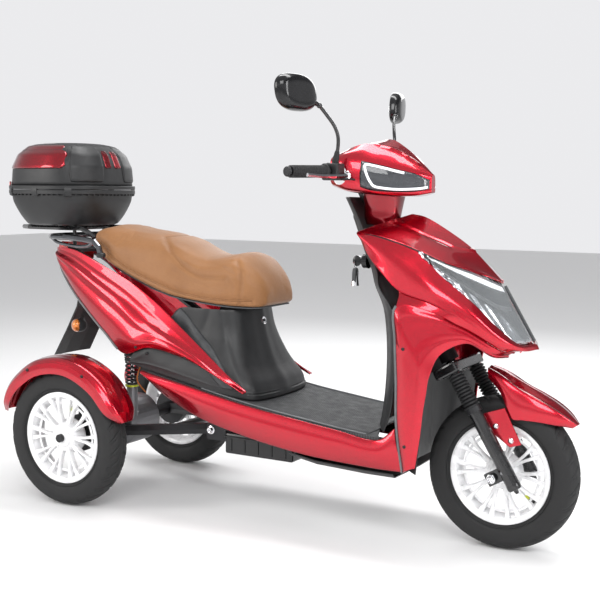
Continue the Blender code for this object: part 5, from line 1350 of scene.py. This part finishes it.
def seat_form():
    loops = []
    for x, share, low_z, crown in SEAT:
        w = share * SEAT_HALF_WIDTH - SEAT_INSET
        top = crown - SEAT_INSET
        h = top - low_z
        right = [(x, -(w - 0.013), low_z + 0.001), (x, -w + 0.003, low_z + 0.06 * h), (x, -w, low_z + 0.26 * h),
                 (x, -w * 0.975, low_z + 0.60 * h), (x, -w * 0.88, top - 0.19 * h), (x, -w * 0.70, top - 0.075 * h),
                 (x, -w * 0.42, top - 0.0045), (x, -w * 0.2, top - 0.0015)]
        left = [(px, -py, pz) for px, py, pz in reversed(right)]
        section = [(x, 0, low_z + 0.001)] + right + [(x, 0, top - 0.0005)] + left
        loops.append([chassis(px, py, pz) for px, py, pz in section])
    loops = refine(np.array([[tuple(p) for p in loop] for loop in loops]), 6)
    bm = bmesh.new()
    verts = grid_faces(bm, loops, closed=True)
    bm.faces.new(list(reversed(verts[0])))
    bm.faces.new(verts[-1])
    bmesh.ops.recalc_face_normals(bm, faces=bm.faces)
    return put("seat_cover", bm, LEATHER, None, 60)


def apply_modifiers(obj):
    graph = bpy.context.evaluated_depsgraph_get()
    data = bpy.data.meshes.new_from_object(obj.evaluated_get(graph))
    obj.modifiers.clear()
    obj.data = data


def inflate(obj, anchor, cap):
    """Blows the cover up against its own stretch, holding the points whose weight is anchored."""
    remesh = obj.modifiers.new("even_cloth", "REMESH")
    remesh.mode = "VOXEL"
    remesh.voxel_size = SEAT_VOXEL
    remesh.use_smooth_shade = True
    apply_modifiers(obj)
    rest = np.array([tuple(v.co) for v in obj.data.vertices])
    pins = obj.vertex_groups.new(name="stapled")
    for vertex in obj.data.vertices:
        if anchor(vertex.co):
            pins.add([vertex.index], 1.0, "REPLACE")
    cloth = obj.modifiers.new("cover", "CLOTH")
    cloth.settings.use_pressure = True
    cloth.settings.uniform_pressure_force = 4.0
    cloth.settings.vertex_group_mass = "stapled"
    cloth.settings.tension_stiffness = 18
    cloth.settings.compression_stiffness = 18
    cloth.settings.bending_stiffness = 1.2
    cloth.settings.effector_weights.gravity = 0
    cloth.point_cache.frame_start = 1
    cloth.point_cache.frame_end = 20
    for number in range(1, 21):
        bpy.context.scene.frame_set(number)
    apply_modifiers(obj)
    bpy.context.scene.frame_set(1)
    moved = np.array([tuple(v.co) for v in obj.data.vertices]) - rest
    length = np.linalg.norm(moved, axis=1, keepdims=True)
    rest = rest + moved * np.minimum(1, cap / np.maximum(length, 1e-9))
    obj.data.vertices.foreach_set("co", rest.astype(np.float32).ravel())
    obj.vertex_groups.clear()
    return obj


seat = seat_form()
SEAT_X = np.array([row[0] for row in SEAT])
SEAT_UNDER = np.array([row[2] for row in SEAT])


def stapled(point):
    x = point.x - REAR.x
    return point.z - REAR.z < np.interp(x, SEAT_X, SEAT_UNDER) + 0.010


inflate(seat, stapled, SEAT_SWELL)


def seat_line(points, count=60):
    """Guide points beside the seat, measured from the rear axle, as a smooth line of world points."""
    return refine([tuple(chassis(*p)) for p in points], max(2, count // len(points)))


BOLSTER = [(0.205, -0.070, 0.640), (0.240, -0.112, 0.606), (0.280, -0.134, 0.560), (0.335, -0.140, 0.520),
           (0.400, -0.142, 0.500), (0.460, -0.138, 0.498)]
NOSE_SEAM = [(0.484, -0.098, 0.562), (0.506, -0.118, 0.540), (0.516, -0.132, 0.500), (0.512, -0.136, 0.440),
             (0.508, -0.130, 0.414)]
WELT = [(-0.030, -0.128, 0.590), (0.070, -0.142, 0.522), (0.190, -0.148, 0.478), (0.300, -0.148, 0.446),
        (0.400, -0.146, 0.434), (0.488, -0.136, 0.430), (0.545, -0.112, 0.432)]
BACK_SEAM = [(0.205, -0.070, 0.640), (0.218, 0.0, 0.640), (0.205, 0.070, 0.640)]


def to_surface(obj, line, lift):
    """The nearest points of the object's surface to a line, lifted a little off it."""
    made = []
    for point in line:
        _, at, normal, _ = obj.closest_point_on_mesh(Vector(point))
        made.append(at + normal * lift)
    return made


seams = []
for guide in (BOLSTER, NOSE_SEAM, WELT):
    for side in (-1, 1):
        seams.append(seat_line([(x, -side * y, z) for x, y, z in guide]))
seams += [seat_line(BACK_SEAM)]
seams = [to_surface(seat, line, 0.0) for line in seams]
SEAM_DEPTH = 0.0050
SEAM_WIDTH = 0.0085
cloud = np.array([tuple(p) for line in seams for p in line])
points = np.array([tuple(v.co) for v in seat.data.vertices])
normals = np.array([tuple(v.normal) for v in seat.data.vertices])
nearest = np.full(len(points), 1.0)
for start in range(0, len(points), 4000):
    part = points[start:start + 4000]
    nearest[start:start + 4000] = np.linalg.norm(part[:, None, :] - cloud[None, :, :], axis=2).min(axis=1)
points = points - normals * (SEAM_DEPTH * np.exp(-((nearest / SEAM_WIDTH) ** 2)))[:, None]
seat.data.vertices.foreach_set("co", points.astype(np.float32).ravel())
seat.data.update()
finer = seat.modifiers.new("soft", "SUBSURF")
finer.levels = finer.render_levels = 1
seat.data.shade_smooth()
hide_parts("seat_cushion")
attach(seat, "seat")


def stitches(name, obj, line, spacing=0.0052, length=0.0036, radius=0.00055, lift=0.0002, offset=0.0032):
    """Short threads on both sides of a seam."""
    bm = bmesh.new()
    walked = 0.0
    for here, there in zip(line, line[1:]):
        step = (there - here).length
        if step < 1e-6:
            continue
        along = (there - here) / step
        walked += step
        if walked < spacing:
            continue
        walked = 0.0
        _, at, normal, _ = obj.closest_point_on_mesh(here)
        across = normal.cross(along).normalized()
        for sign in (-1, 1):
            middle = at + across * sign * offset
            _, middle, normal, _ = obj.closest_point_on_mesh(middle)
            turn = along.to_track_quat("Z", "Y").to_matrix().to_4x4()
            bmesh.ops.create_cone(bm, cap_ends=True, segments=6, radius1=radius, radius2=radius, depth=length,
                                  matrix=Matrix.Translation(middle + normal * lift) @ turn)
    made = put(name, bm, THREAD, "seat", 60)
    return made


def dense(line, times=6):
    return [Vector(p) for p in refine([tuple(p) for p in line], times)]


for number, line in enumerate(seams):
    stitches("seat_stitches_%d" % number, seat, dense(line, 5))
for number in (4, 5):
    pipe("seat_welt_%s" % side_name(-1 if number == 4 else 1), to_surface(seat, seams[number], 0.0004), 0.0017, LEATHER,
         "seat", 2)
dress(GREY, "seat_pan")


# Inner shield: the black moulding in front of the rider's legs, with ribs, the ignition lock and a bag hook.

INNER = (
    # z, centre x, half width, edge x, measured from the front axle
    (0.738, -0.487, 0.046, -0.457), (0.690, -0.457, 0.075, -0.417), (0.640, -0.432, 0.108, -0.376),
    (0.590, -0.407, 0.125, -0.352), (0.540, -0.382, 0.138, -0.324), (0.500, -0.367, 0.150, -0.312),
    (0.440, -0.342, 0.172, -0.262), (0.360, -0.327, 0.188, -0.244), (0.260, -0.325, 0.190, -0.244),
    (0.165, -0.332, 0.190, -0.254), (0.112, -0.338, 0.187, -0.274),
)
rows = []
for z, middle, half_width, edge_x in INNER:
    rows.append([(middle + (edge_x - middle) * abs(across) ** 2.2, across * half_width, z)
                 for across in (-1, -0.82, -0.5, -0.2, 0, 0.2, 0.5, 0.82, 1)])


def inner_shape(s, t):
    """A shallow pocket low down and two long ribs that frame it."""
    ribs = sum(0.003 * ridge(t, middle, 0.03) for middle in (0.22, 0.78))
    pocket = -0.006 / (1 + np.exp(-(0.22 - abs(t - 0.5)) * 60)) * ((s > 0.45) & (s < 0.86))
    return -(ribs * (s > 0.1) + pocket)


shield = relief(fine_grid(rows, 7, 7), inner_shape)
skin("inner_cover", [shield], BLACK, "chassis", (0.2, 0, 0.5), FRONT, stands_for=["inner_shield"])
LOCK = (-0.3945, -0.050, 0.560)
turned("ignition_barrel", [(0.0205, -0.004), (0.0205, 0.010), (0.0180, 0.0125), (0.0150, 0.0130), (0.0140, 0.0110),
                           (0.0042, 0.0110), (0.0042, -0.004)], GLOSS, "chassis", front(*LOCK), (-1, 0, 0), 48)
hook = front(-0.395, 0.050, 0.575)
pipe("bag_hook", [hook + Vector(p) for p in ((0.012, 0, 0.010), (-0.010, 0, 0.010), (-0.022, 0, -0.004),
                                             (-0.017, 0, -0.018),
                                             (-0.005, 0, -0.020))], 0.0042, GLOSS, "chassis", 6)


# Front body: a red hood and flanks with a raised middle plate. Grooves and creases are moulded in.

CREST = [(-0.282, 0, 0.694), (-0.242, 0, 0.686), (-0.177, 0, 0.652), (-0.109, 0, 0.608), (-0.062, 0, 0.565),
         (-0.025, 0, 0.528), (-0.012, 0, 0.514)]
CREASE = [(-0.382, -0.143, 0.646), (-0.327, -0.146, 0.639), (-0.259, -0.145, 0.622), (-0.197, -0.141, 0.601),
          (-0.134, -0.122, 0.573), (-0.069, -0.070, 0.546), (-0.017, -0.012, 0.517)]
FLANK_TOP = CREASE[:4] + [(-0.139, -0.146, 0.542), (-0.058, -0.131, 0.477), (0.015, -0.100, 0.401),
                          (0.057, -0.060, 0.360), (0.079, 0, 0.358)]
FLANK_LOW = [(-0.372, -0.147, 0.628), (-0.342, -0.157, 0.585), (-0.292, -0.172, 0.538), (-0.237, -0.182, 0.495),
             (-0.149, -0.184, 0.469), (-0.073, -0.163, 0.432), (0.020, -0.115, 0.363), (0.065, -0.060, 0.343),
             (0.091, 0, 0.343)]


def between(low, high, share, out=0.0):
    """A point part of the way across a panel, pushed outwards from the middle plane."""
    x, y, z = (a + (b - a) * share for a, b in zip(low, high))
    return (x, y - out if abs(y) > 0.001 else y, z + out * 0.3)


def carve(grid, line, width, height):
    """Pushes a grid out (or, below 0, in) along a line that runs over it."""
    line = refine(line, 12)
    distance = np.full(grid.shape[:2], 9.0)
    for point in line:
        distance = np.minimum(distance, np.linalg.norm(grid - point, axis=2))
    shaped = relief(grid, lambda s, t: height * np.exp(-((distance / width) ** 2)))
    shaped[:, :, 1] = np.where(np.abs(grid[:, :, 1]) < 1e-6, 0, shaped[:, :, 1])
    return shaped


hood_rows = [[crease, between(crease, crest, 0.35, 0.004), between(crease, crest, 0.7, 0.002), crest]
             for crest, crease in zip(CREST, CREASE)]
hood = fine_grid(hood_rows, 12, 14)
GROOVE = [(-0.330, -0.068, 0.684), (-0.293, -0.064, 0.6765), (-0.203, -0.060, 0.6475), (-0.134, -0.042, 0.6145),
          (-0.096, 0.0, 0.5985)]
hood = carve(hood, GROOVE, 0.0042, 0.0038)
hood = carve(hood, [(x - 0.014, y * 1.16 - 0.004, z - 0.001) for x, y, z in GROOVE[:-1]], 0.0075, -0.0030)
flank_rows = [[low, between(low, top, 0.5, 0.010), top] for low, top in zip(FLANK_LOW, FLANK_TOP)]
flank = fine_grid(flank_rows, 10, 8)
skin("fairing", [hood, flipped(hood), flank, flipped(flank)], RED, "chassis", (-0.15, 0, 0.45), FRONT,
     stands_for=["front_fairing"], smooth=30)
for side in (-1, 1):
    line = [front(x, -side * y * 1.004, z - 0.003) for x, y, z in refine(CREASE[:5], 6)]
    pipe("fairing_bead_" + side_name(side), line, 0.0020, GLOSS, "chassis", 1)


def inlay(name, grid, stations, lift, finish, body, side=-1, origin=FRONT, wall=0.0012, across=10, edge=0.0):
    """A panel over part of a fine grid; stations give its share along and its low and high share across."""
    stations = refine(np.array(stations), 8)
    rows = []
    for number, (s, low, high) in enumerate(stations):
        row = []
        for k in range(across + 1):
            v = k / across
            border = min(v, 1 - v, number / (len(stations) - 1), 1 - number / (len(stations) - 1))
            rise = lift * (1 - 0.6 * max(0.0, 1 - border / 0.10)) if edge else lift
            point = on_grid(grid, min(max(s, 0), 1), min(max(low + (high - low) * v, 0), 1), rise)
            row.append(point * np.array([1, -side, 1]))
        rows.append(row)
    return skin(name, [rows], finish, body, (-0.2, 0, 0.45), origin, wall=wall, edge=0.0, smooth=40)


# Headlight: one clear lens each side that sweeps back from the nose. A white light guide follows its upper edge over
# a smoked band, and a bright reflector lies below.

LENS_GAP = 0.006
lens_top = refine([CREASE[3], CREASE[4], CREASE[5], (-0.012, 0, 0.510)], 9)
lens_low = refine(FLANK_TOP[3:], 9)
lens_top = lens_top[np.round(np.linspace(0, len(lens_top) - 1, len(lens_low))).astype(int)]
rows = []
for number, (top, low) in enumerate(zip(lens_top, lens_low)):
    if number == 0:
        continue
    gap = LENS_GAP / np.linalg.norm(top - low)
    start, end = between(low, top, gap), between(low, top, 1 - gap)
    rows.append([start, between(start, end, 0.5, 0.012 if number < 8 else 0.0), end])
lens = fine_grid(rows, 2, 8)
skin("headlight_lens", [lens, flipped(lens)], CLEAR, "chassis", (-0.15, 0, 0.40), FRONT, wall=0.0016,
     stands_for=["headlight"], edge=0.0)
bowl = relief(lens * np.array([1, 0.97, 1]) - np.array([0.007, 0, 0.003]),
              lambda s, t: 0.0016 * np.sin(s * 44 + 9 * t) * (t < 0.5) + 0.0010 * np.sin(t * 60) * (s < 0.4))
skin("headlight_bowl", [bowl, flipped(bowl)], REFLECTOR, "chassis", (-0.15, 0, 0.40), FRONT, wall=0.0016, edge=0.0)
for side in (-1, 1):
    tag = side_name(side)
    inlay("headlight_smoke_" + tag, lens,
          [(0.04, 0.40, 0.80), (0.20, 0.50, 0.82), (0.45, 0.55, 0.84), (0.66, 0.58, 0.85),
                                           (0.80, 0.40, 0.86), (0.90, 0.16, 0.87), (0.985, 0.06, 0.90)], -0.0030, GLOSS,
          "chassis", side)
    inlay("headlight_guide_" + tag, lens, [(0.02, 0.30, 0.95), (0.07, 0.62, 0.97), (0.18, 0.82, 0.965),
                                           (0.45, 0.855, 0.965), (0.75, 0.865, 0.965), (0.96, 0.88, 0.965)], -0.0018,
          DRL, "chassis", side)
    inlay("headlight_ledge_" + tag, lens,
          [(0.05, 0.28, 0.36), (0.25, 0.42, 0.50), (0.50, 0.46, 0.55), (0.75, 0.50, 0.58),
                                           (0.93, 0.54, 0.61)], -0.0026, GREY, "chassis", side)
spine = [front(*(np.array(lens[-1, k]) + np.array([0.001, 0, 0.001]))) for k in (0, 4, 8, 12, 16)]
pipe("headlight_spine", spine, 0.0042, GREY, "chassis", 4)


# Leg shields: red panels either side of the front wheel, with a ridge along the top and a step by the wheel arch.

SHIELD_OUT = [(0.040, -0.045, 0.336), (0.020, -0.095, 0.345), (-0.072, -0.148, 0.405), (-0.144, -0.184, 0.446),
              (-0.234, -0.2035, 0.457), (-0.235, -0.2045, 0.366), (-0.230, -0.2045, 0.260), (-0.227, -0.2045, 0.140),
              (-0.208, -0.2040, 0.012)]
SHIELD_IN = [(0.022, -0.048, 0.322), (-0.002, -0.100, 0.328), (-0.059, -0.146, 0.365), (-0.117, -0.181, 0.335),
             (-0.139, -0.196, 0.280), (-0.147, -0.199, 0.230), (-0.154, -0.201, 0.180), (-0.160, -0.202, 0.120),
             (-0.173, -0.203, 0.030)]
rows = [[out, between(out, inner, 0.33, 0.008), between(out, inner, 0.7, 0.008), inner]
        for out, inner in zip(SHIELD_OUT, SHIELD_IN)]


def leg_shape(s, t):
    """A rounded ridge inside the outer edge and a raised band along the wheel arch."""
    top = 0.0028 * ridge(t, 0.16, 0.09)
    band = 0.0022 / (1 + np.exp(-(t - 0.78 + 0.10 * s) * 90))
    return top * (s < 0.62) + band


leg = relief(fine_grid(rows, 10, 10), leg_shape)
skin("leg_cover_right", [leg], RED, "chassis", (-0.2, 0.2, 0.2), FRONT, stands_for=["leg_shield_right"], smooth=26)
skin("leg_cover_left", [flipped(leg)], RED, "chassis", (-0.2, -0.2, 0.2), FRONT, stands_for=["leg_shield_left"],
     smooth=26)
for side in (-1, 1):
    tag = side_name(side)
    trim = [front(*(np.array(on_grid(leg, s, 0.0, 0.0)) * np.array([1, -side, 1]) + np.array([-0.001, 0, 0])))
            for s in np.linspace(0.50, 1.0, 20)]
    pipe("leg_trim_" + tag, trim, 0.0036, TRIM, "chassis", 1)
    for number, (s, t) in enumerate(((0.60, 0.30), (0.93, 0.35))):
        at = front(*(on_grid(leg, s, t, 0.0004) * np.array([1, -side, 1])))
        bolt("leg_screw_%s_%d" % (tag, number), at, (0, side, 0), 0.0045, "chassis", SATIN, "button")

rows = []
for out, low in ((SHIELD_OUT[4], FLANK_LOW[3]), (SHIELD_OUT[3], FLANK_LOW[4]), (SHIELD_OUT[2], FLANK_LOW[5]),
                 (SHIELD_OUT[1], FLANK_LOW[6]), (SHIELD_OUT[0], FLANK_LOW[7])):
    out, low = np.array(out), np.array(low)
    rows.append([out, out * 0.66 + low * 0.34 + np.array([0, 0.002, 0]),
                 out * 0.3 + low * 0.7 + np.array([0, 0.005, 0]),
                 low + np.array([-0.004, 0.007, 0.002])])
shoulder = fine_grid(rows, 8, 5)
skin("leg_shoulder_right", [shoulder], RED, "chassis", (-0.15, 0, 0.40), FRONT, wall=0.002)
skin("leg_shoulder_left", [flipped(shoulder)], RED, "chassis", (-0.15, 0, 0.40), FRONT, wall=0.002)

ARCH = (
    # z, then x from the front axle at each share of the half width
    (0.008, (-0.242, -0.236, -0.212, -0.175)), (0.090, (-0.242, -0.232, -0.197, -0.167)),
    (0.190, (-0.237, -0.222, -0.182, -0.157)), (0.245, (-0.232, -0.217, -0.167, -0.150)),
)
rows = []
for z, reach in ARCH:
    right = [(reach[3], -0.190, z), (reach[2], -0.150, z), (reach[1], -0.100, z), (reach[0], -0.035, z)]
    rows.append(right + [(x, -y, z) for x, y, z in reversed(right)])
arch = relief(fine_grid(rows, 12, 8), lambda s, t: 0.0012 * ridge((t * 7) % 1, 0.5, 0.12))
skin("arch_liner", [arch], BLACK, "chassis", (-0.6, 0, 0.15), FRONT, stands_for=["wheel_arch_liner"])


# Handlebar cowl: a red cover over the bar clamp, with a lamp each side of its nose. Each lamp is a smoked lens
# edged by a white light guide.

COWL = (
    # x from the front axle, crest z, shoulder y z, side y z, low y z
    (-0.472, 0.855, 0.118, 0.850, 0.134, 0.820, 0.120, 0.772),
    (-0.430, 0.876, 0.108, 0.868, 0.142, 0.834, 0.132, 0.762),
    (-0.388, 0.894, 0.084, 0.880, 0.131, 0.832, 0.124, 0.757),
    (-0.348, 0.900, 0.060, 0.874, 0.108, 0.824, 0.106, 0.752),
    (-0.302, 0.875, 0.040, 0.858, 0.080, 0.814, 0.080, 0.749),
    (-0.256, 0.836, 0.022, 0.826, 0.044, 0.804, 0.046, 0.751),
    (-0.221, 0.803, 0.007, 0.800, 0.012, 0.790, 0.013, 0.757),
)
rows = []
for x, crest, shoulder_y, shoulder_z, side_y, side_z, low_y, low_z in COWL:
    rows.append([(x, 0, low_z - 0.004), (x, -low_y, low_z), (x, -side_y, side_z), (x, -shoulder_y, shoulder_z),
                 (x, 0, crest)])
cowl = fine_grid(rows, 9, 8)
cowl = carve(cowl, [(-0.430, -0.100, 0.872), (-0.388, -0.078, 0.884), (-0.340, -0.050, 0.880), (-0.262, -0.020, 0.834)],
             0.006, 0.0035)
nose = np.stack([cowl[-1], flipped(cowl[-1])])


def with_openings(obj, cutters):
    for number, cutter in enumerate(cutters):
        hole = obj.modifiers.new("opening_%d" % number, "BOOLEAN")
        hole.operation = "DIFFERENCE"
        hole.solver = "EXACT"
        hole.object = cutter
    apply_modifiers(obj)
    for cutter in cutters:
        bpy.data.objects.remove(cutter)


def cutter_rod(start, end, radius):
    start, end = Vector(start), Vector(end)
    bm = bmesh.new()
    turn = (end - start).to_track_quat("Z", "Y").to_matrix().to_4x4()
    bmesh.ops.create_cone(bm, cap_ends=True, segments=48, radius1=radius, radius2=radius, depth=(end - start).length,
                          matrix=Matrix.Translation((start + end) / 2) @ turn)
    data = bpy.data.meshes.new("opening")
    bm.to_mesh(data)
    bm.free()
    made = bpy.data.objects.new("opening", data)
    bpy.context.collection.objects.link(made)
    return made


BAR_REACH = Vector((-0.437, 0.100, 0.7925))
BAR_BEND = Vector((-0.445, 0.190, 0.8085))
BAR_RUN = Vector((-0.050, 0.145, -0.0025)).normalized()


def mirrored_point(point, side):
    return Vector((point[0], side * point[1], point[2]))


cover = skin("cowl_cover", [cowl, flipped(cowl), nose], RED, "steering", (-0.36, 0, 0.81), FRONT,
             stands_for=["handlebar_cowl"], smooth=32)
holes = []
for side in (-1, 1):
    bend = mirrored_point(BAR_BEND, side)
    run = (bend - mirrored_point(BAR_REACH, side)).normalized()
    holes.append(cutter_rod(front(*(bend - run * 0.085)), front(*bend), 0.026))
with_openings(cover, holes)
neck = []
for z, back, ahead, half_width in ((0.662, -0.418, -0.330, 0.034), (0.680, -0.424, -0.324, 0.038),
                                   (0.700, -0.425, -0.320, 0.039), (0.716, -0.425, -0.317, 0.042),
                                   (0.755, -0.427, -0.310, 0.050)):
    neck.append([front((back + ahead) / 2 + (ahead - back) / 2 * math.copysign(abs(math.cos(a)) ** 0.7, math.cos(a)),
                       half_width * math.copysign(abs(math.sin(a)) ** 0.7, math.sin(a)), z)
                 for a in (2 * math.pi * k / 64 for k in range(64))])
# The cowl neck takes the darker copy of the red paint: painted shade under the cowl.
solid_loft("cowl_neck", neck, SHADED_RED, "steering", 4, 40, edge=0.0015)
for side in (-1, 1):
    tag = side_name(side)
    inlay("cowl_lamp_bed_" + tag, cowl, [(0.36, 0.30, 0.53), (0.45, 0.28, 0.53), (0.65, 0.28, 0.52), (0.85, 0.28, 0.50),
                                         (0.98, 0.30, 0.47)], 0.0006, GLOSS, "steering", side, wall=0.0008)
    inlay("cowl_lamp_smoke_" + tag, cowl,
          [(0.37, 0.31, 0.52), (0.46, 0.29, 0.52), (0.65, 0.29, 0.51), (0.85, 0.29, 0.49),
                                           (0.975, 0.31, 0.46)], 0.0032, SMOKE, "steering", side, edge=1)
    path = [(0.74, 0.478), (0.60, 0.492), (0.47, 0.497), (0.405, 0.492), (0.410, 0.450), (0.465, 0.36), (0.50, 0.328),
            (0.58, 0.318), (0.75, 0.315), (0.90, 0.325), (0.955, 0.340)]
    guide = [front(*(on_grid(cowl, s, t, 0.0036) * np.array([1, -side, 1]))) for s, t in refine(path, 6)]
    pipe("cowl_light_guide_" + tag, guide, 0.0036, DRL, "steering", 1)
panel_rows = []
for x, z in ((-0.468, 0.848), (-0.440, 0.866), (-0.405, 0.886)):
    panel_rows.append([(x, y, z + 0.0035 - abs(y) * 0.06) for y in np.linspace(-0.070, 0.070, 9)])
skin("dash_cover", [fine_grid(panel_rows, 6, 2)], GLOSS, "steering", (-0.4, 0, 0.5), FRONT, wall=0.002)


# Handlebar: a black tube. Ribbed rubber grips end in weights, the right one twists. A switch block each side carries
# the brake lever on a pin and the mirror stem.

dress(STEEL, "handlebar")
dress(BLACK, "switch_block_right", "switch_block_left")
dress(CHROME, "brake_lever_left", "brake_lever_right")
# The horn button takes the darker copy of the red paint: painted shade.
dress(SHADED_RED, "horn_button")
dress(TRIM, "indicator_switch")
SWITCH = Vector((-0.4425, 0.172, 0.8075))
SWITCH_SIZE = Vector((0.050, 0.044, 0.046))
PERCH = Vector((-0.405, 0.160, 0.7975))
for side in (-1, 1):
    tag = side_name(side)
    name = "throttle_grip" if side < 0 else "grip_left"
    run = mirrored_point(BAR_RUN, side)
    low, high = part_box(name)
    grip_middle = (Vector(low) + Vector(high)) / 2
    half_long = (high[1] - low[1]) / 2 / abs(run.y) - 0.0050
    bore = 0.0116
    profile = [(bore, -half_long), (0.0180, -half_long), (0.0205, -half_long + 0.002), (0.0205, -half_long + 0.006),
               (0.0165, -half_long + 0.009)]
    ribs = 15
    start, end = -half_long + 0.012, half_long - 0.010
    for k in range(ribs):
        at = start + (end - start) * k / (ribs - 1)
        profile += [(0.0158, at - 0.0024), (0.0168, at - 0.0016), (0.0170, at), (0.0168, at + 0.0016),
                    (0.0158, at + 0.0024)]
    profile += [(0.0165, half_long - 0.004), (0.0165, half_long - 0.001), (0.0150, half_long), (bore, half_long),
                (bore, -half_long)]
    turned("grip_" + tag, profile, GRIP, "throttle" if side < 0 else "steering", grip_middle, run, 64, 35, [name])
    tip = grip_middle + run * (half_long + 0.0045)
    turned("bar_weight_" + tag, [(0.0001, -0.002), (0.0118, -0.002), (0.0138, 0.0), (0.0138, 0.006), (0.0120, 0.009),
                                 (0.0001, 0.0095)], SATIN, "steering", tip, run, 40)
    middle = front(*mirrored_point(SWITCH, side))
    seam = [middle + Vector((x, 0, z)) for x, z in ((-0.0256, -0.016), (-0.0256, 0.016), (-0.020, 0.0234),
                                                   (-0.010, 0.0236))]
    pipe("switch_seam_" + tag, seam, 0.0007, GLOSS, "steering", 4)
    perch = front(*mirrored_point(PERCH, side))
    turned("lever_pin_head_" + tag, [(0.0001, 0.0), (0.0062, 0.0), (0.0062, 0.002), (0.0050, 0.003), (0.0001, 0.003)],
           CHROME, "steering", perch + Vector((0, 0, 0.0092)), (0, 0, 1), 24)
    hose = [perch + Vector((0.004, side * -0.012, -0.008)), perch + Vector((0.012, side * -0.030, -0.012)),
            perch + Vector((0.004, side * -0.052, -0.012)), perch + Vector((-0.020, side * -0.072, -0.004))]
    pipe("brake_hose_" + tag, hose, 0.0030, GLOSS, "steering", 8)
    bolt("switch_screw_" + tag, middle + Vector((-0.0250, side * 0.013, 0.012)), (-1, 0, 0), 0.0030, "steering", SATIN,
         "button")


# Mirrors: black stems with a rubber boot, oval backs and silvered glass on ball joints.

for side in (-1, 1):
    tag = side_name(side)
    middle = mirrored_point(SWITCH, side)
    top = middle + Vector((0.006, 0, SWITCH_SIZE.z / 2 + 0.0002))
    stem = [top + Vector((0, 0, 0.002)), top + Vector((0.010, side * 0.004, 0.044)),
            top + Vector((0.012, side * 0.009, 0.072)), top + Vector((0.006, side * 0.018, 0.098)),
            top + Vector((-0.006, side * 0.042, 0.128)), top + Vector((-0.014, side * 0.066, 0.150))]
    pipe("mirror_rod_" + tag, [front(*p) for p in stem], 0.0050, STEEL, "mirror_arm_" + tag, 8,
         stands_for=["mirror_stem_" + tag], sides=8)
    turned("mirror_boot_" + tag, [(0.0098, 0.0), (0.0098, 0.008), (0.0086, 0.012), (0.0090, 0.016), (0.0074, 0.022),
                                  (0.0076, 0.026), (0.0056, 0.034)], GRIP, "mirror_arm_" + tag, front(*top),
           stem[1] - stem[0], 36, 50)
    ball = stem[-1]
    turned("mirror_ball_" + tag, [(0.0001, -0.0078), (0.0045, -0.0066), (0.0072, -0.003), (0.0078, 0.0),
                                  (0.0072, 0.003),
                                  (0.0045, 0.0066), (0.0001, 0.0078)], STEEL, "mirror_arm_" + tag, front(*ball),
           (0, 0, 1),
           32, 60, along=2)
    head = ball + Vector((-0.024, side * 0.075, 0.030))
    yaw = math.radians(15)
    back = Vector((math.cos(yaw), side * math.sin(yaw), 0))
    outwards = Vector((-math.sin(yaw), side * math.cos(yaw), 0))
    half_wide, half_tall = 0.070, 0.048

    def head_ring(depth, scale, steps=64):
        ring = []
        for step in range(steps):
            angle = 2 * math.pi * step / steps
            c, s = math.cos(angle), math.sin(angle)
            reach = scale * (abs(c) ** 2.6 + abs(s) ** 2.6) ** (-1 / 2.6)
            across = half_wide * reach * c + 0.010 * s * scale
            up_by = Vector((0, 0, half_tall * reach * s))
            ring.append(tuple(front(*(head + back * depth + outwards * across + up_by))))
        return ring

    shell_rings = [head_ring(-0.0170, 0.93), head_ring(-0.0150, 0.985), head_ring(-0.0110, 1.0),
                   head_ring(-0.001, 0.98),
                   head_ring(0.006, 0.92), head_ring(0.0115, 0.82), head_ring(0.0150, 0.68), head_ring(0.0165, 0.45)]
    solid_loft("mirror_shell_" + tag, shell_rings, GLOSS, "mirror_" + tag, 2, 40, ["mirror_head_" + tag])
    solid_loft("mirror_glass_" + tag, [head_ring(-0.0168, 0.90), head_ring(-0.0176, 0.895)], GLASS, "mirror_" + tag, 1,
               20)
    to_head = (head - ball).normalized()
    turned("mirror_socket_" + tag, [(0.0001, 0.0082), (0.0062, 0.0082), (0.0072, 0.012), (0.0072, 0.040),
                                    (0.0001, 0.042)],
           GLOSS, "mirror_" + tag, front(*ball), to_head, 32, 45)


# Key: a steel blade with a dark moulded bow, a split ring and a grey fob that hangs from it.

dress(CHROME, "key", "key_fob")
KEY_OUT = LOCK[0] - 0.020
bow = front(KEY_OUT - 0.012, LOCK[1], LOCK[2])
bow_rings = []
for lift, scale in ((-0.0042, 0.82), (-0.0035, 0.98), (0.0035, 0.98), (0.0042, 0.82)):
    bow_rings.append([bow + Vector((0.0135 * scale * math.cos(a), lift, 0.0155 * scale * math.sin(a)))
                      for a in (2 * math.pi * k / 40 for k in range(40))])
solid_loft("key_bow_cover", bow_rings, GLOSS, "key", 1, 40)
ring_foot = front(KEY_OUT - 0.018, LOCK[1], LOCK[2] - 0.0195)
fob_rings = []
for lift, scale in ((-0.0062, 0.84), (-0.0050, 1.0), (0.0050, 1.0), (0.0062, 0.84)):
    fob_rings.append([ring_foot + Vector((lift, 0.0105 * scale * math.copysign(abs(math.cos(a)) ** 0.7, math.cos(a)),
                                          -0.026 + 0.0250 * scale * math.copysign(abs(math.sin(a)) ** 0.7,
                                                                                  math.sin(a))))
                      for a in (2 * math.pi * k / 48 for k in range(48))])
solid_loft("fob_tag", fob_rings, GREY, "fob", 1, 40)
pipe("fob_loop", [ring_foot + Vector(p) for p in ((0, 0, 0.0006), (0.002, 0, -0.002), (0, 0, -0.005))], 0.0012, CHROME,
     "fob", 4)
